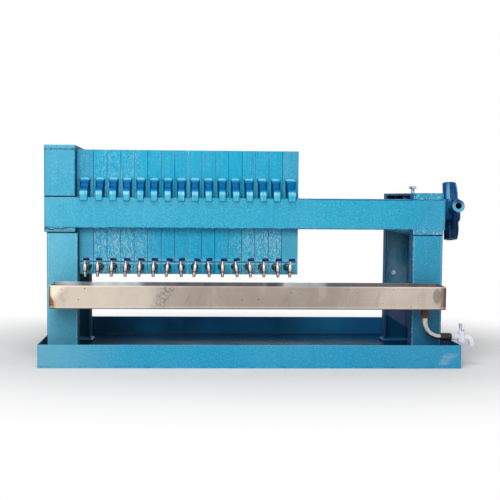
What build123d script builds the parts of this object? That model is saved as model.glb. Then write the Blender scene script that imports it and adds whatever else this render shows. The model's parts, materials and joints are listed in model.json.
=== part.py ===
"""Plate filter press for edible oil: a welded channel frame standing in a sheet-metal drip tray, a pack of
cast filter plates hung on two side bars, a tightening screw with a four-socket capstan hub, one small outlet
cock on each plate, and a stainless trough that leads the filtered oil to a plastic drain tap.

Millimetres. +X runs along the side bars towards the screw, -Y is the front with the cocks, +Z is up.
The origin is on the floor, under the middle of the drip tray.
"""

import os

from build123d import *

# Rolled steel channel, used for the posts, the side bars and the cross beams
channel_height = 75
channel_flange = 40
channel_web = 5
flange_root = 8.5
flange_toe = 6
root_radius = 6
toe_radius = 3

# Filter plates
plate_count = 16
plate_size = 305
plate_thickness = 32.6
end_plate_thickness = 40
plate_gap = 0.6
plate_rise = 1
rim_width = 28
field_depth = 5
field_corner = 10
groove_depth = 3
groove_width = 9
groove_count = 9
groove_margin = 12
feed_eye_radius = 14
feed_eye_share = 0.31
outlet_boss_height = 31
outlet_boss_depth = 4
outlet_boss_trim = 9
outlet_boss_round = 2.5

# Lugs that carry a plate on the side bars
lug_width = 15.5
end_lug_width = 18
lug_height = 48
lug_flare = 5
lug_flare_height = 44.5
lug_ledge = 18
lug_ledge_height = 42
lug_waist = 13
lug_waist_height = 23
lug_nose_height = 20
lug_nose = 6.5
lug_drop = 8.5
lug_seat_gap = 0.3
lug_side_gap = 1
lug_flare_radius = 10
lug_ledge_radius = 3.5
lug_waist_radius = 10
lug_nose_radius = 8
lug_root_fillet = 6

# Frame
bar_gap = 2.5
frame_length = 968
bar_overhang_left = 6
bar_overhang_right = 5
bar_bottom = 326
head_post_height = 115
head_cap_thickness = 10
foot_length = 88
foot_width = 62
foot_thickness = 6
foot_proud = 2
sill_thickness = 10
sill_proud = 1.5

# Drip tray
tray_apron_left = 10.5
tray_apron_right = 25.5
tray_apron_side = 101
tray_height = 55
tray_sheet = 3
tray_corner = 4

# Screw crosshead at the right-hand end
crosshead_height = 103
crosshead_lift = 1.5
crosshead_plate = 6.5
rib_spacing = 102
rib_thickness = 8
rib_setback = 4
nut_length = 46
nut_clearance = 0.3
lock_bolt_radius = 5
lock_bolt_clearance = 0.2
lock_bolt_exposed = 12
lock_bolt_shift = 2
lock_bolt_head_height = 7
lock_bolt_across_flats = 17

# Tightening screw, its cup on the follower plate and its capstan hub
screw_axis_rise = 7
screw_radius = 19
screw_tip_radius = 15
screw_shank_radius = 16
cup_radius = 32
cup_length = 22
cup_depth = 14
cup_clearance = 0.3
hub_distance = 58
hub_boss_radius = 30
hub_boss_inner = 38
hub_boss_outer = 22
hub_arm_radius = 16.3
hub_arm_length = 76
hub_arm_stagger = 5.5
hub_socket_radius = 7.8
hub_boss_corner = 12
hub_web_thickness = 9
hub_web_face = 8.5
hub_web_inset = 6
hub_fit_gap = 0.1
hub_turn = 11

# Feed inlet socket on the head plate
inlet_radius = 21
inlet_bore_radius = 16.65
inlet_length = 38

# Outlet cocks
cock_height = 19.5
cock_reach = 80
cock_flange_radius = 10
cock_flange_thickness = 4
cock_neck_radius = 5
cock_barrel_radius = 5.8
cock_barrel_top = 12.5
cock_barrel_bottom = 8
cock_barrel_taper = 1
cock_collar_radius = 5.6
cock_collar_height = 3.5
cock_nozzle_radius = 4
cock_nozzle_tip = 3.2
cock_nozzle_length = 9
cock_nozzle_bore = 2.2
cock_nozzle_bore_depth = 6
cock_stem_radius = 2.4
cock_stem_length = 9
cock_handle_radius = 4
cock_handle_height = 7
cock_lever_radius = 2.6
cock_lever_length = 14
end_cock_shift = 7
cock_leans = [1, 0, -2, -3, -3, -1, -7, 3, -7, 5, 0, 8, 5, 1, 3, -2]

# Oil trough and its drain
trough_left_inset = 17.5
trough_right_inset = 13.5
trough_depth = 98
trough_height = 59
trough_rim_fall = 4.5
trough_floor = 139.5
trough_sheet = 2
drain_inset = 39
drain_hole_radius = 5.5
drain_socket_radius = 10
drain_socket_length = 20
pipe_radius = 6.75
pipe_wall = 1.5
pipe_fit_gap = 0.15
pipe_bend_radius = 35
pipe_drop = 70.5
pipe_run = 49
coupling_radius = 9.6
coupling_length = 26
coupling_overlap = 10

# Plastic drain tap
tap_neck_radius = 4.2
tap_neck_length = 18
tap_barrel_radius = 8
tap_barrel_drop = 13
tap_barrel_rise = 10
tap_bonnet_radius = 6.2
tap_bonnet_height = 5
tap_spout_radius = 5.5
tap_spout_reach = 25
tap_spout_drop = 21
tap_spout_bend = 17
tap_spout_bore = 3.8
tap_spout_bore_depth = 6
tap_handle_gap = 0.3
tap_handle_hub_radius = 5
tap_handle_hub_height = 5
tap_handle_span = 30
tap_handle_height = 17
tap_handle_thickness = 6

# Places worked out from the sizes above
tray_length = frame_length + tray_apron_left + tray_apron_right
frame_depth = plate_size + 2 * (bar_gap + channel_flange)
tray_depth = frame_depth + 2 * tray_apron_side
frame_left = -tray_length / 2 + tray_apron_left
frame_right = frame_left + frame_length
frame_face = frame_depth / 2
flange_face = frame_face - channel_flange
left_post_x = frame_left + channel_height / 2
right_post_x = frame_right - channel_height / 2
bar_left = frame_left - bar_overhang_left
bar_right = frame_right + bar_overhang_right
bar_middle = bar_bottom + channel_height / 2
bar_top = bar_bottom + channel_height
head_post_x = bar_left + channel_height / 2
head_face = bar_left + channel_height
head_top = bar_top + head_post_height
post_foot = tray_sheet + foot_thickness
crosshead_left = right_post_x - channel_height / 2
crosshead_right = right_post_x + channel_height / 2
crosshead_middle = bar_middle + crosshead_lift
crosshead_bottom = crosshead_middle - crosshead_height / 2
crosshead_top = crosshead_middle + crosshead_height / 2
crosshead_clear = crosshead_height - 2 * crosshead_plate
lock_bolt_x = right_post_x + lock_bolt_shift
left_post_height = bar_bottom - sill_thickness - post_foot
right_post_height = crosshead_bottom - post_foot

plate_half = plate_size / 2
plate_middle = bar_middle + plate_rise
plate_bottom = plate_middle - plate_half
feed_eye_rise = feed_eye_share * plate_size
inner_count = plate_count - 2
plate_pitch = plate_thickness + plate_gap
inner_start = head_face + end_plate_thickness + plate_gap
follower_face = inner_start + inner_count * plate_pitch
pack_end = follower_face + end_plate_thickness

screw_axis = bar_middle + screw_axis_rise
cup_mouth = pack_end + cup_length
screw_tip = cup_mouth - cup_depth + cup_clearance
screw_shoulder = cup_mouth + cup_clearance
hub_x = bar_right + hub_distance
hub_inner_face = hub_x - hub_boss_inner
hub_outer_face = hub_x + hub_boss_outer

cock_face = -plate_half - outlet_boss_depth
cock_z = plate_bottom + cock_height

trough_left = frame_left + trough_left_inset
trough_right = frame_right - trough_right_inset
trough_front = -frame_face - trough_depth
trough_rim = trough_floor + trough_height
trough_middle = -frame_face - trough_depth / 2
drain_x = trough_right - drain_inset
pipe_z = trough_floor - pipe_drop
pipe_end = drain_x + pipe_run
coupling_start = pipe_end - coupling_overlap
coupling_end = coupling_start + coupling_length
tap_x = coupling_end + tap_neck_length + tap_barrel_radius
tap_top = pipe_z + tap_barrel_rise + tap_bonnet_height


def write(shape, name):
    """Labels a finished piece and writes it as one STEP file."""
    shape.label = name
    export_step(shape, f"parts/{name}.step")


def rolled_channel(plane, length):
    """A channel run along the plane's normal: local x is across the web, local y runs out to the toes."""
    half = channel_height / 2
    with BuildPart() as run:
        with BuildSketch(plane) as section:
            with BuildLine():
                Polyline(
                    (-half, 0),
                    (half, 0),
                    (half, channel_flange),
                    (half - flange_toe, channel_flange),
                    (half - flange_root, channel_web),
                    (-half + flange_root, channel_web),
                    (-half + flange_toe, channel_flange),
                    (-half, channel_flange),
                    close=True,
                )
            make_face()
            rows = section.vertices().group_by(Axis.Y)
            fillet(rows[1], radius=root_radius)
            toes = section.vertices().group_by(Axis.Y)[-1].sort_by(lambda corner: abs(corner.X))[:2]
            fillet(toes, radius=toe_radius)
        extrude(amount=length)
    return run.part


def upright(x, side, bottom, height):
    """A post whose web faces outwards; side is -1 for the front and 1 for the rear."""
    return rolled_channel(Plane((x, side * frame_face, bottom), x_dir=(-side, 0, 0), z_dir=(0, 0, 1)), height)


def build_frame():
    """Posts, side bars, cross beams and the flat plates welded between them."""
    for side, where in ((-1, "front"), (1, "rear")):
        write(upright(left_post_x, side, post_foot, left_post_height), f"{where}_left_post")
        write(upright(right_post_x, side, post_foot, right_post_height), f"{where}_right_post")
        write(upright(head_post_x, side, bar_top, head_post_height), f"{where}_head_post")
        bar_plane = Plane((bar_left, side * frame_face, bar_middle), x_dir=(0, 0, side), z_dir=(1, 0, 0))
        write(rolled_channel(bar_plane, bar_right - bar_left), f"{where}_side_bar")
    beam_plane = Plane((head_face, -flange_face, bar_middle), x_dir=(0, 0, -1), z_dir=(0, 1, 0))
    write(rolled_channel(beam_plane, 2 * flange_face), "head_cross_beam")

    foot_y = frame_face + foot_proud - foot_width / 2
    with BuildPart() as feet:
        for x in (left_post_x, right_post_x):
            with Locations([(x, side * foot_y, tray_sheet) for side in (-1, 1)]):
                Box(foot_length, foot_width, foot_thickness, align=(Align.CENTER, Align.CENTER, Align.MIN))
    write(feet.part, "post_foot_plates")

    with BuildPart() as sill:
        with Locations((head_post_x, 0, bar_bottom)):
            Box(
                channel_height,
                frame_depth + 2 * sill_proud,
                sill_thickness,
                align=(Align.CENTER, Align.CENTER, Align.MAX),
            )
    write(sill.part, "head_sill_plate")

    with BuildPart() as head_cap:
        with Locations((head_post_x, 0, head_top)):
            Box(
                channel_height,
                frame_depth,
                head_cap_thickness,
                align=(Align.CENTER, Align.CENTER, Align.MIN),
            )
    write(head_cap.part, "head_top_plate")


def build_tray():
    """Open tray of folded sheet that the posts stand in."""
    with BuildPart() as tray:
        Box(tray_length, tray_depth, tray_height, align=(Align.CENTER, Align.CENTER, Align.MIN))
        fillet(tray.edges().filter_by(Axis.Z), radius=tray_corner)
        offset(amount=-tray_sheet, openings=tray.faces().sort_by(Axis.Z)[-1])
    write(tray.part, "drip_tray")


def build_crosshead():
    """Welded beam that takes the screw's thrust, its nut block between two ribs, and the lock bolt on top."""
    with BuildPart() as beam:
        with Locations((right_post_x, 0, crosshead_middle)):
            Box(channel_height, frame_depth, crosshead_height)
        with Locations((crosshead_left, 0, crosshead_middle)):
            Box(
                channel_height - crosshead_plate,
                2 * flange_face,
                crosshead_clear,
                align=(Align.MIN, Align.CENTER, Align.CENTER),
                mode=Mode.SUBTRACT,
            )
        pocket_y = frame_face - channel_flange / 2
        with Locations([(right_post_x, side * pocket_y, bar_middle) for side in (-1, 1)]):
            Box(channel_height, channel_flange, channel_height, mode=Mode.SUBTRACT)
        with Locations([(crosshead_right, side * rib_spacing / 2, crosshead_middle) for side in (-1, 1)]):
            Box(
                channel_height - rib_setback,
                rib_thickness,
                crosshead_clear,
                align=(Align.MAX, Align.CENTER, Align.CENTER),
            )
        with BuildSketch(Plane.YZ.offset(crosshead_left)):
            with Locations((0, screw_axis)):
                Circle(screw_radius + nut_clearance)
        extrude(amount=channel_height, mode=Mode.SUBTRACT)
        with Locations((lock_bolt_x, 0, crosshead_top)):
            Hole(lock_bolt_radius + lock_bolt_clearance, depth=crosshead_plate)
    write(beam.part, "screw_crosshead")

    with BuildPart() as nut:
        with BuildSketch(Plane.YZ.offset(crosshead_right - crosshead_plate)):
            with Locations((0, crosshead_middle)):
                Rectangle(rib_spacing - rib_thickness, crosshead_clear)
            with Locations((0, screw_axis)):
                Circle(screw_radius + nut_clearance, mode=Mode.SUBTRACT)
        extrude(amount=-nut_length)
    write(nut.part, "screw_nut_block")

    nut_top = crosshead_top - crosshead_plate
    shank_top = crosshead_top + lock_bolt_exposed
    with BuildPart() as bolt:
        with BuildSketch(Plane.XY.offset(nut_top)):
            with Locations((lock_bolt_x, 0)):
                Circle(lock_bolt_radius)
        extrude(amount=shank_top - nut_top)
        with BuildSketch(Plane.XY.offset(shank_top)):
            with Locations((lock_bolt_x, 0)):
                RegularPolygon(lock_bolt_across_flats / 2, 6, major_radius=False)
        extrude(amount=lock_bolt_head_height)
    write(bolt.part, "lock_bolt")


def plate_body(thickness, width_of_lug, left_field, right_field):
    """One cast plate centred on X = 0: lugs over both bars, an outlet boss and ribbed filter fields.

    A side with no filter field is an outer face of the pack, and the boss stops short of it.
    """
    boss_left = -thickness / 2 + (0 if left_field else outlet_boss_trim)
    boss_right = thickness / 2 - (0 if right_field else outlet_boss_trim)
    nose_inner = frame_face - plate_half + lug_side_gap
    nose_outer = nose_inner + lug_nose
    field_size = plate_size - 2 * rim_width
    groove_length = field_size - 2 * groove_margin
    with BuildPart() as plate:
        lug_plane = Plane((0, -plate_half, bar_top), x_dir=(0, -1, 0), z_dir=(-1, 0, 0))
        with BuildSketch(lug_plane) as outline:
            with BuildLine():
                Polyline(
                    (0, lug_seat_gap),
                    (nose_inner, lug_seat_gap),
                    (nose_inner, -lug_drop),
                    (nose_outer, -lug_drop),
                    (nose_outer, lug_nose_height),
                    (lug_waist, lug_waist_height),
                    (lug_ledge, lug_ledge_height),
                    (lug_flare, lug_flare_height),
                    (0, lug_height),
                    close=True,
                )
            make_face()
            for corner, radius in (
                ((nose_outer, lug_nose_height), lug_nose_radius),
                ((lug_waist, lug_waist_height), lug_waist_radius),
                ((lug_ledge, lug_ledge_height), lug_ledge_radius),
                ((lug_flare, lug_flare_height), lug_flare_radius),
            ):
                fillet(outline.vertices().sort_by_distance(corner)[0], radius=radius)
        extrude(amount=width_of_lug / 2, both=True)
        half, root = width_of_lug / 2, lug_root_fillet
        bulge = root * (1 - 0.5**0.5)
        with BuildSketch(Plane((0, -plate_half, bar_top + lug_seat_gap), x_dir=(1, 0, 0), z_dir=(0, 0, 1))):
            with BuildLine():
                Line((half + root, 0), (-half - root, 0))
                ThreePointArc((-half - root, 0), (-half - bulge, -bulge), (-half, -root))
                Line((-half, -root), (half, -root))
                ThreePointArc((half, -root), (half + bulge, -bulge), (half + root, 0))
            make_face()
        extrude(amount=lug_flare_height - lug_seat_gap)
        mirror(about=Plane.XZ)

        with Locations((0, 0, plate_middle)):
            Box(thickness, plate_size, plate_size)

        with Locations((boss_left, -plate_half, plate_bottom)):
            Box(
                boss_right - boss_left,
                outlet_boss_depth,
                outlet_boss_height,
                align=(Align.MIN, Align.MAX, Align.MIN),
            )
        boss_edges = plate.faces().sort_by(Axis.Y).filter_by(
            lambda face: abs(face.center().Y + plate_half + outlet_boss_depth) < outlet_boss_round
            and face.center().Z < plate_middle
        )[0].edges().filter_by(Axis.X)
        fillet(boss_edges.sort_by(Axis.Z)[-1], radius=outlet_boss_round)

        for wanted, side in ((left_field, -1), (right_field, 1)):
            if wanted:
                face = Plane((side * thickness / 2, 0, plate_middle), x_dir=(0, 1, 0), z_dir=(side, 0, 0))
                with BuildSketch(face):
                    RectangleRounded(field_size, field_size, field_corner)
                extrude(amount=-field_depth, mode=Mode.SUBTRACT)
                with BuildSketch(face.offset(-field_depth)):
                    with GridLocations(groove_length / (groove_count - 1), 0, groove_count, 1):
                        Rectangle(groove_width, groove_length)
                extrude(amount=-groove_depth, mode=Mode.SUBTRACT)

        if right_field:
            with BuildSketch(Plane.YZ.offset(-thickness / 2)):
                with Locations((0, plate_middle + feed_eye_rise)):
                    Circle(feed_eye_radius)
            extrude(amount=thickness, mode=Mode.SUBTRACT)
    return plate.part


def outlet_cock():
    """A plug cock screwed into the boss at the origin, reaching towards -Y, with its lever towards +X."""
    barrel_foot = -cock_barrel_bottom
    collar_foot = barrel_foot - cock_collar_height
    nozzle_foot = collar_foot - cock_nozzle_length
    stem_top = cock_barrel_top + cock_stem_length
    with BuildPart() as cock:
        with BuildSketch(Plane.XZ):
            RegularPolygon(cock_flange_radius, 6)
        extrude(amount=cock_flange_thickness)
        with BuildSketch(Plane.XZ):
            Circle(cock_neck_radius)
        extrude(amount=cock_reach)
        barrel_plane = Plane.XZ.offset(cock_reach)
        with BuildSketch(barrel_plane):
            with BuildLine():
                Polyline(
                    (0, nozzle_foot),
                    (cock_nozzle_tip, nozzle_foot),
                    (cock_nozzle_radius, collar_foot),
                    (cock_collar_radius, collar_foot),
                    (cock_collar_radius, barrel_foot),
                    (cock_barrel_radius - cock_barrel_taper, barrel_foot),
                    (cock_barrel_radius, 0),
                    (cock_barrel_radius, cock_barrel_top - cock_barrel_radius + cock_stem_radius),
                    (cock_stem_radius, cock_barrel_top),
                    (cock_stem_radius, stem_top),
                    (cock_handle_radius, stem_top),
                    (cock_handle_radius, stem_top + cock_handle_height),
                    (0, stem_top + cock_handle_height),
                    close=True,
                )
            make_face()
        revolve(axis=Axis((0, -cock_reach, 0), (0, 0, 1)))
        lever_z = stem_top + cock_handle_height - cock_lever_radius
        with BuildSketch(Plane((0, -cock_reach, lever_z), x_dir=(0, 1, 0), z_dir=(1, 0, 0))):
            Circle(cock_lever_radius)
        extrude(amount=cock_lever_length)
        with BuildSketch(Plane((0, -cock_reach, nozzle_foot))):
            Circle(cock_nozzle_bore)
        extrude(amount=cock_nozzle_bore_depth, mode=Mode.SUBTRACT)
    return cock.part


def build_plates():
    """The head plate, the filter plates and the follower, each with its outlet cock."""
    end_shift = end_plate_thickness / 2
    inner = plate_body(plate_thickness, lug_width, True, True)
    cock = outlet_cock()

    def place_cock(x, lean, name):
        write(cock.moved(Location((x, cock_face, cock_z), (0, -lean, 0))), name)

    head_x = head_face + end_shift
    head = plate_body(end_plate_thickness, end_lug_width, False, True)
    write(head.moved(Location((head_x, 0, 0))), "head_plate")
    place_cock(head_x + end_cock_shift, cock_leans[0], "outlet_cock_01")

    for step in range(inner_count):
        x = inner_start + step * plate_pitch + plate_thickness / 2
        number = step + 2
        write(inner.moved(Location((x, 0, 0))), f"filter_plate_{number:02d}")
        place_cock(x, cock_leans[number - 1], f"outlet_cock_{number:02d}")

    follower_x = follower_face + end_shift
    with BuildPart() as follower:
        add(plate_body(end_plate_thickness, end_lug_width, True, False))
        with BuildSketch(Plane.YZ.offset(end_shift)):
            with Locations((0, screw_axis)):
                Circle(cup_radius)
        extrude(amount=cup_length)
        with BuildSketch(Plane.YZ.offset(end_shift + cup_length)):
            with Locations((0, screw_axis)):
                Circle(screw_tip_radius + cup_clearance)
        extrude(amount=-cup_depth, mode=Mode.SUBTRACT)
    write(follower.part.moved(Location((follower_x, 0, 0))), "follower_plate")
    place_cock(follower_x - end_cock_shift, cock_leans[plate_count - 1], f"outlet_cock_{plate_count:02d}")

    with BuildPart() as inlet:
        with BuildSketch(Plane.YZ.offset(head_face)):
            with Locations((0, plate_middle + feed_eye_rise)):
                Circle(inlet_radius)
                Circle(inlet_bore_radius, mode=Mode.SUBTRACT)
        extrude(amount=-inlet_length)
    write(inlet.part, "feed_inlet_socket")


def build_screw():
    """The tightening screw and the capstan hub that is keyed on its outer end."""
    with BuildPart() as screw:
        with BuildSketch(Plane.XZ):
            with BuildLine():
                Polyline(
                    (screw_tip, screw_axis),
                    (screw_tip, screw_axis + screw_tip_radius),
                    (screw_shoulder, screw_axis + screw_tip_radius),
                    (screw_shoulder, screw_axis + screw_radius),
                    (hub_inner_face, screw_axis + screw_radius),
                    (hub_inner_face, screw_axis + screw_shank_radius),
                    (hub_outer_face, screw_axis + screw_shank_radius),
                    (hub_outer_face, screw_axis),
                    close=True,
                )
            make_face()
        revolve(axis=Axis((0, 0, screw_axis), (1, 0, 0)))
    write(screw.part, "tightening_screw")

    hub_place = Location((hub_x, 0, screw_axis), (-hub_turn, 0, 0))
    arm_planes = [
        Plane((x, 0, 0), x_dir=(1, 0, 0), z_dir=direction).offset(hub_boss_radius)
        for x, direction in (
            (hub_arm_stagger, (0, 1, 0)),
            (hub_arm_stagger, (0, -1, 0)),
            (0, (0, 0, 1)),
            (0, (0, 0, -1)),
        )
    ]
    web_reach = hub_arm_length - hub_web_inset
    with BuildPart() as hub:
        with BuildSketch(Plane.YZ.offset(-hub_boss_inner)):
            RectangleRounded(2 * hub_boss_radius, 2 * hub_boss_radius, hub_boss_corner)
        extrude(amount=hub_boss_inner + hub_boss_outer)
        with BuildSketch(Plane.YZ.offset(hub_web_face)):
            with BuildLine():
                Polyline((web_reach, 0), (0, web_reach), (-web_reach, 0), (0, -web_reach), close=True)
            make_face()
        extrude(amount=-hub_web_thickness)
        for plane in arm_planes:
            with BuildSketch(plane):
                Circle(hub_arm_radius + hub_fit_gap)
            extrude(amount=hub_arm_length, mode=Mode.SUBTRACT)
        with BuildSketch(Plane.YZ.offset(-hub_boss_inner)):
            Circle(screw_shank_radius + hub_fit_gap)
        extrude(amount=hub_boss_inner + hub_boss_outer, mode=Mode.SUBTRACT)
    write(hub.part.moved(hub_place), "capstan_hub")

    with BuildPart() as sockets:
        for plane in arm_planes:
            with BuildSketch(plane):
                Circle(hub_arm_radius)
                Circle(hub_socket_radius, mode=Mode.SUBTRACT)
            extrude(amount=hub_arm_length - hub_boss_radius)
    write(sockets.part.moved(hub_place), "capstan_sockets")


def trough_side(x_low, x_high, y_low, y_high):
    """One upright sheet of the trough, trimmed along the rim that falls towards the front."""
    with BuildPart() as side:
        with Locations((x_low, y_low, trough_floor)):
            Box(
                x_high - x_low,
                y_high - y_low,
                trough_height,
                align=(Align.MIN, Align.MIN, Align.MIN),
            )
        with BuildSketch(Plane.YZ.offset(x_low)):
            with BuildLine():
                Polyline(
                    (trough_front, trough_rim - trough_rim_fall),
                    (-frame_face, trough_rim),
                    (-frame_face, trough_rim + trough_height),
                    (trough_front, trough_rim + trough_height),
                    close=True,
                )
            make_face()
        extrude(amount=x_high - x_low, mode=Mode.SUBTRACT)
    return side.part


def build_trough():
    """Stainless trough of five welded sheets under the cocks, and its drain elbow."""
    inner_left = trough_left + trough_sheet
    inner_right = trough_right - trough_sheet
    inner_front = trough_front + trough_sheet
    inner_back = -frame_face - trough_sheet
    with BuildPart() as bottom:
        with BuildSketch(Plane.XY.offset(trough_floor)):
            with Locations((inner_left, inner_front)):
                Rectangle(
                    inner_right - inner_left,
                    inner_back - inner_front,
                    align=(Align.MIN, Align.MIN),
                )
            with Locations((drain_x, trough_middle)):
                Circle(drain_hole_radius, mode=Mode.SUBTRACT)
        extrude(amount=trough_sheet)
    sheets = [
        bottom.part,
        trough_side(inner_left, inner_right, trough_front, inner_front),
        trough_side(inner_left, inner_right, inner_back, -frame_face),
        trough_side(trough_left, inner_left, trough_front, -frame_face),
        trough_side(inner_right, trough_right, trough_front, -frame_face),
    ]
    write(Compound([sheet.solid() for sheet in sheets]), "oil_trough")

    with BuildPart() as socket:
        with BuildSketch(Plane.XY.offset(trough_floor)):
            with Locations((drain_x, trough_middle)):
                Circle(drain_socket_radius)
                Circle(pipe_radius + pipe_fit_gap, mode=Mode.SUBTRACT)
        extrude(amount=-drain_socket_length)
    write(socket.part, "drain_socket")

    with BuildPart() as pipe:
        with BuildLine():
            FilletPolyline(
                (drain_x, trough_middle, trough_floor),
                (drain_x, trough_middle, pipe_z),
                (pipe_end, trough_middle, pipe_z),
                radius=pipe_bend_radius,
            )
        with BuildSketch(Plane((drain_x, trough_middle, trough_floor), z_dir=(0, 0, -1))):
            Circle(pipe_radius)
            Circle(pipe_radius - pipe_wall, mode=Mode.SUBTRACT)
        sweep()
    write(pipe.part, "drain_pipe")

    with BuildPart() as coupling:
        with BuildSketch(Plane.YZ.offset(coupling_start)):
            with Locations((trough_middle, pipe_z)):
                Circle(coupling_radius)
                Circle(pipe_radius + pipe_fit_gap, mode=Mode.SUBTRACT)
        extrude(amount=coupling_length)
    write(coupling.part, "tap_coupling")


def build_tap():
    """Plastic bib tap: a barrel on a spigot, a spout turned down, and a butterfly handle."""
    spout_end = tap_x + tap_spout_reach
    spout_foot = pipe_z - tap_spout_drop
    with BuildPart() as tap:
        with BuildSketch(Plane.YZ.offset(pipe_end)):
            with Locations((trough_middle, pipe_z)):
                Circle(pipe_radius)
        extrude(amount=coupling_end - pipe_end)
        with BuildSketch(Plane.YZ.offset(coupling_end)):
            with Locations((trough_middle, pipe_z)):
                Circle(tap_neck_radius)
        extrude(amount=tap_x - coupling_end)
        with BuildSketch(Plane((0, trough_middle, 0), x_dir=(1, 0, 0), z_dir=(0, -1, 0))):
            with BuildLine():
                Polyline(
                    (tap_x, pipe_z - tap_barrel_drop),
                    (tap_x + tap_barrel_radius, pipe_z - tap_barrel_drop),
                    (tap_x + tap_barrel_radius, pipe_z + tap_barrel_rise),
                    (tap_x + tap_bonnet_radius, tap_top),
                    (tap_x, tap_top),
                    close=True,
                )
            make_face()
        revolve(axis=Axis((tap_x, trough_middle, 0), (0, 0, 1)))
        with BuildLine():
            FilletPolyline(
                (tap_x, trough_middle, pipe_z),
                (spout_end, trough_middle, pipe_z),
                (spout_end, trough_middle, spout_foot),
                radius=tap_spout_bend,
            )
        with BuildSketch(Plane((tap_x, trough_middle, pipe_z), z_dir=(1, 0, 0))):
            Circle(tap_spout_radius)
        sweep()
        with BuildSketch(Plane((spout_end, trough_middle, spout_foot))):
            Circle(tap_spout_bore)
        extrude(amount=tap_spout_bore_depth, mode=Mode.SUBTRACT)
    write(tap.part, "drain_tap_body")

    handle_foot = tap_top + tap_handle_gap
    half_span = tap_handle_span / 2
    hub_top = handle_foot + tap_handle_hub_height
    handle_top = handle_foot + tap_handle_height
    with BuildPart() as handle:
        with BuildSketch(Plane((tap_x, trough_middle, handle_foot))):
            Circle(tap_handle_hub_radius)
        extrude(amount=tap_handle_height)
        with BuildSketch(Plane((tap_x, trough_middle, 0), x_dir=(0, 1, 0), z_dir=(1, 0, 0))):
            with BuildLine():
                Polyline(
                    (-tap_handle_hub_radius, handle_foot),
                    (tap_handle_hub_radius, handle_foot),
                    (half_span, hub_top),
                    (half_span, handle_top),
                    (-half_span, handle_top),
                    (-half_span, hub_top),
                    close=True,
                )
            make_face()
        extrude(amount=tap_handle_thickness / 2, both=True)
    write(handle.part, "drain_tap_handle")


os.makedirs("parts", exist_ok=True)
build_tray()
build_frame()
build_crosshead()
build_plates()
build_screw()
build_trough()
build_tap()
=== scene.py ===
"""Plate filter press: finishes, cast and welded detail, and a small studio.

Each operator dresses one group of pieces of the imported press, and the sidebar panel lists them in order.
"""

import itertools
import json
import math
import random
from functools import cached_property

import bmesh
import bpy
from mathutils import Matrix, Vector


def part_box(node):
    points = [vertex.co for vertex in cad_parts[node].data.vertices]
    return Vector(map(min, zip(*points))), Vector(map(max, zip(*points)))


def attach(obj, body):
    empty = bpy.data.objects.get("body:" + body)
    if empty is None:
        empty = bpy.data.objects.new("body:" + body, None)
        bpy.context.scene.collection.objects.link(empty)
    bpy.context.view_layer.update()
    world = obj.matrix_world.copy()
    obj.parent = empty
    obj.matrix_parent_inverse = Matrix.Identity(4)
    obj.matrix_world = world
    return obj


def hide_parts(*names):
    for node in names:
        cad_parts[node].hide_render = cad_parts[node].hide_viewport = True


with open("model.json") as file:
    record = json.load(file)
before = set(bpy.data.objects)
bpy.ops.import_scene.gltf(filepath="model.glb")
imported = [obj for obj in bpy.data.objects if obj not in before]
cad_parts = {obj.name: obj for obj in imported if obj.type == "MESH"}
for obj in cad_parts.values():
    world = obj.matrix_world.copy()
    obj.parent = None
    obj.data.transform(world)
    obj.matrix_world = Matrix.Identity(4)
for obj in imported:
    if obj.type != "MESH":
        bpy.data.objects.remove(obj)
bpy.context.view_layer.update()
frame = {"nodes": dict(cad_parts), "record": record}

bl_info = {
    "name": "Plate filter press",
    "version": (1, 0, 0),
    "blender": (4, 5, 0),
    "location": "View3D > Sidebar > Filter press",
    "description": "Dresses a screw-tightened plate filter press with paint, castings, welds and fittings",
    "category": "Add Mesh",
}

MM = 0.001
BODIES = frame["record"]["behaviour"]["bodies"]
CARRIER = {node: body for body, nodes in BODIES.items() for node in nodes}
INNER_PLATES = [f"filter_plate_{number:02d}" for number in range(2, 16)]
PLATES = ["head_plate", *INNER_PLATES, "follower_plate"]
PLATE_FACE = 152.5 * MM  # front and rear sides of the plates, from the middle
BAR_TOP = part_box("rear_side_bar")[1].z
BAR_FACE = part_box("rear_side_bar")[1].y
LUG_FOOT = 0.38  # the plates' lugs are above this height, the outlet bosses below it
OUTER_FACE = (BAR_FACE - 6.5 * MM, BAR_FACE - 2.5 * MM)  # the frame's outer sides begin here
HEAD_END = [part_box("head_top_plate")[1].x - gap * MM for gap in (3, 1)]  # the head's posts end here
SHARP = 32  # degrees between faces from which an edge is rounded
COCK_LEANS = [1, 0, -2, -3, -3, -1, -7, 3, -7, 5, 0, 8, 5, 1, 3, -2]  # degrees, from the head
COCK_REACH = 80  # mm from the boss to the cock's barrel
BOSS = (-156.5, 231.5)  # y and height in mm of the bosses' faces


def shade(red, green, blue):
    """Linear colour of an eight-bit one."""
    parts = (value / 255 for value in (red, green, blue))
    return tuple(v / 12.92 if v <= 0.04045 else ((v + 0.055) / 1.055) ** 2.4 for v in parts)


def colour_prop(name, description, default):
    return bpy.props.FloatVectorProperty(
        name=name, description=description, subtype="COLOR", size=3, min=0, max=1, default=default
    )


def number_prop(name, description, default, low=0.0, **kind):
    return bpy.props.FloatProperty(name=name, description=description, default=default, min=low, **kind)


def length_prop(name, description, default):
    return number_prop(name, description, default, unit="LENGTH", precision=5)


def power_prop(name, description, default):
    return number_prop(name, description, default, unit="POWER")


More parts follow.
